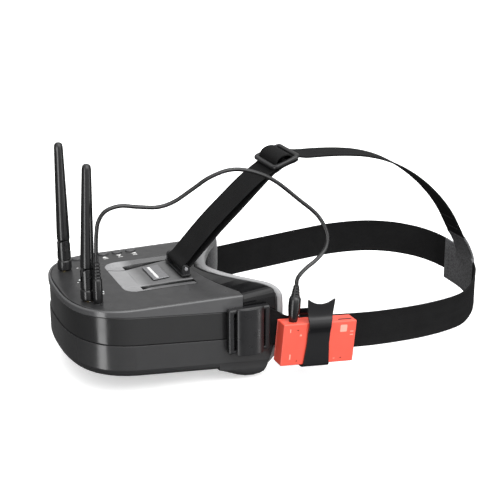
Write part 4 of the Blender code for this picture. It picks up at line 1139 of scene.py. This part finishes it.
def cover_marks():
    """Plain control symbols beside the buttons, and dots beside the sockets and lights."""
    made = []
    for (x, y), angle in (((-53.6, -24.0), 0.0), ((-53.2, -11.2), math.pi / 2),
                          ((-53.4, 1.6), -math.pi / 2), ((-54.2, 14.6), math.pi)):
        made.append(flat_mark(placed(TRIANGLE, (x, y), angle, 2.4), cover_rise))
        made.append(flat_mark(placed(BAR, (x + 4.4, y), math.pi / 2, 2.6), cover_rise))
    for centre, radius in (((30.2, -35.9), 0.75), ((-35.1, -39.4), 0.8), ((-2.0, -47.7), 0.7),
                           ((40.4, -49.6), 0.7)):
        made.append(flat_mark(placed(circle(20), centre, 0.0, radius), cover_rise))
    return made


piece("cover_marks", joined(cover_marks()), "ink")


def label_height(x, y):
    """The height of the label plate, which slopes with the panel under it."""
    return 0.3 + 2.7 * min(1.0, max(0.0, (y + 3.0) / 39.0))


piece("label_bar", joined([
    flat_mark([(-13, 13.2), (13, 13.2), (13, 15.4), (-13, 15.4)], label_height),
]), "ink")


def recorder_marks(marks):
    """Prints on the recorder's flat outer face, drawn from its middle."""
    return [loft([[(half_x + lift, y, z) for y, z in outline] for lift in (0.02, 0.07)])
            for outline in marks]


piece("recorder_marks", joined(recorder_marks([
    placed(rounded_rectangle(3.0, 3.0, 0.8, 4), (20.6, 11.4)),
    placed(TRIANGLE, (-16.8, 8.2), 0.0, 1.1),
    placed(BAR, (28.2, 8.4), 0.0, 1.8),
    placed(BAR, (28.2, 5.6), 0.0, 1.8),
    placed(BAR, (-26.0, 12.0), math.pi / 2, 1.8),
    placed(BAR, (-24.5, -10.0), math.pi / 2, 2.6),
    placed(BAR, (14.5, -13.8), 0.0, 1.0),
])), "red_ink", place=recorder_turn)


# --- studio ---------------------------------------------------------------------------------


def soft_light(name, place, aim, width, height, energy, gloss_only=False):
    """A rectangular lamp, with its place, aim and size in metres and its energy in watts."""
    data = bpy.data.lights.new(name, "AREA")
    data.shape = "RECTANGLE"
    data.size = width
    data.size_y = height
    data.energy = energy
    lamp = bpy.data.objects.new(name, data)
    lamp.location = place
    lamp.visible_diffuse = not gloss_only
    lamp.rotation_euler = (Vector(aim) - Vector(place)).to_track_quat("-Z", "Y").to_euler()
    bpy.context.scene.collection.objects.link(lamp)


def around(azimuth, elevation, distance):
    """A place round the object, with azimuth from straight ahead of it towards its left."""
    a, e = math.radians(azimuth), math.radians(elevation)
    return (distance * math.sin(a) * math.cos(e), -distance * math.cos(a) * math.cos(e),
            distance * math.sin(e))


# Soft pools of studio light: direction (azimuth, elevation), tightness, strength
LIGHT_POOLS = (
    ((100, 35), 5.5, 4.2),
    ((0, 90), 3.2, 1.3),
    ((248, 18), 7.0, 0.2),
    ((116, -20), 9.0, 0.22),
    ((215, 30), 4.0, 0.35),
    ((15, 34), 3.0, 0.5),
)
WORLD_FLOOR = 0.08


def add_world():
    """A dim room with a few broad pools of soft light."""
    world = bpy.data.worlds.new("studio")
    world.use_nodes = True
    tree = world.node_tree
    place = add(tree, "ShaderNodeTexCoord").outputs["Generated"]
    total = None
    for (azimuth, elevation), tightness, strength in LIGHT_POOLS:
        dot = add(tree, "ShaderNodeVectorMath", {0: place, 1: around(azimuth, elevation, 1.0)},
                  operation="DOT_PRODUCT").outputs["Value"]
        near = times(tree, sums(tree, "SUBTRACT", dot, 1.0), tightness)
        pool = times(tree, sums(tree, "EXPONENT", near), strength)
        total = plus(tree, pool, WORLD_FLOOR if total is None else total)
    tree.links.new(total, tree.nodes["Background"].inputs["Strength"])
    tree.nodes["Background"].inputs["Color"].default_value = (1, 1, 1, 1)
    bpy.context.scene.world = world


def add_floor():
    """A plain pale floor, lit evenly and left out of the object's own reflections."""
    bm = bmesh.new()
    bmesh.ops.create_grid(bm, x_segments=40, y_segments=40, size=6.0)
    floor = bpy.data.objects.new("floor", as_mesh("floor", bm))
    floor.location = (0, 0, cad_box[0][2] - 0.0005)
    floor.visible_glossy = False
    floor.visible_shadow = False
    floor.visible_diffuse = False
    material, tree, shader = blank("floor", Roughness=0.9, Emission_Color=(1, 1, 1, 1),
                                   Emission_Strength=0.45)
    place = in_mm(tree)
    tone = mixed(tree, noise(tree, place, 0.01, 3.0), (0.93, 0.93, 0.93), (0.96, 0.96, 0.96))
    drive(tree, shader, Base_Color=tone)
    floor.data.materials.append(material)
    bpy.context.scene.collection.objects.link(floor)


# The two strips are seen only in glossy reflections: one down the front corner, one down the side
soft_light("corner_strip", around(33, -14, 1.5), (0, -0.1, 0), 0.46, 1.6, 13.0, gloss_only=True)
soft_light("side_strip", around(140, -5, 1.5), (0, 0, 0), 0.16, 1.4, 5.0, gloss_only=True)
soft_light("top_panel", (0.5, 0.3, 1.4), (0, 0.05, 0), 1.2, 0.8, 5.0)
add_world()
add_floor()
bpy.context.scene.view_settings.view_transform = "Standard"
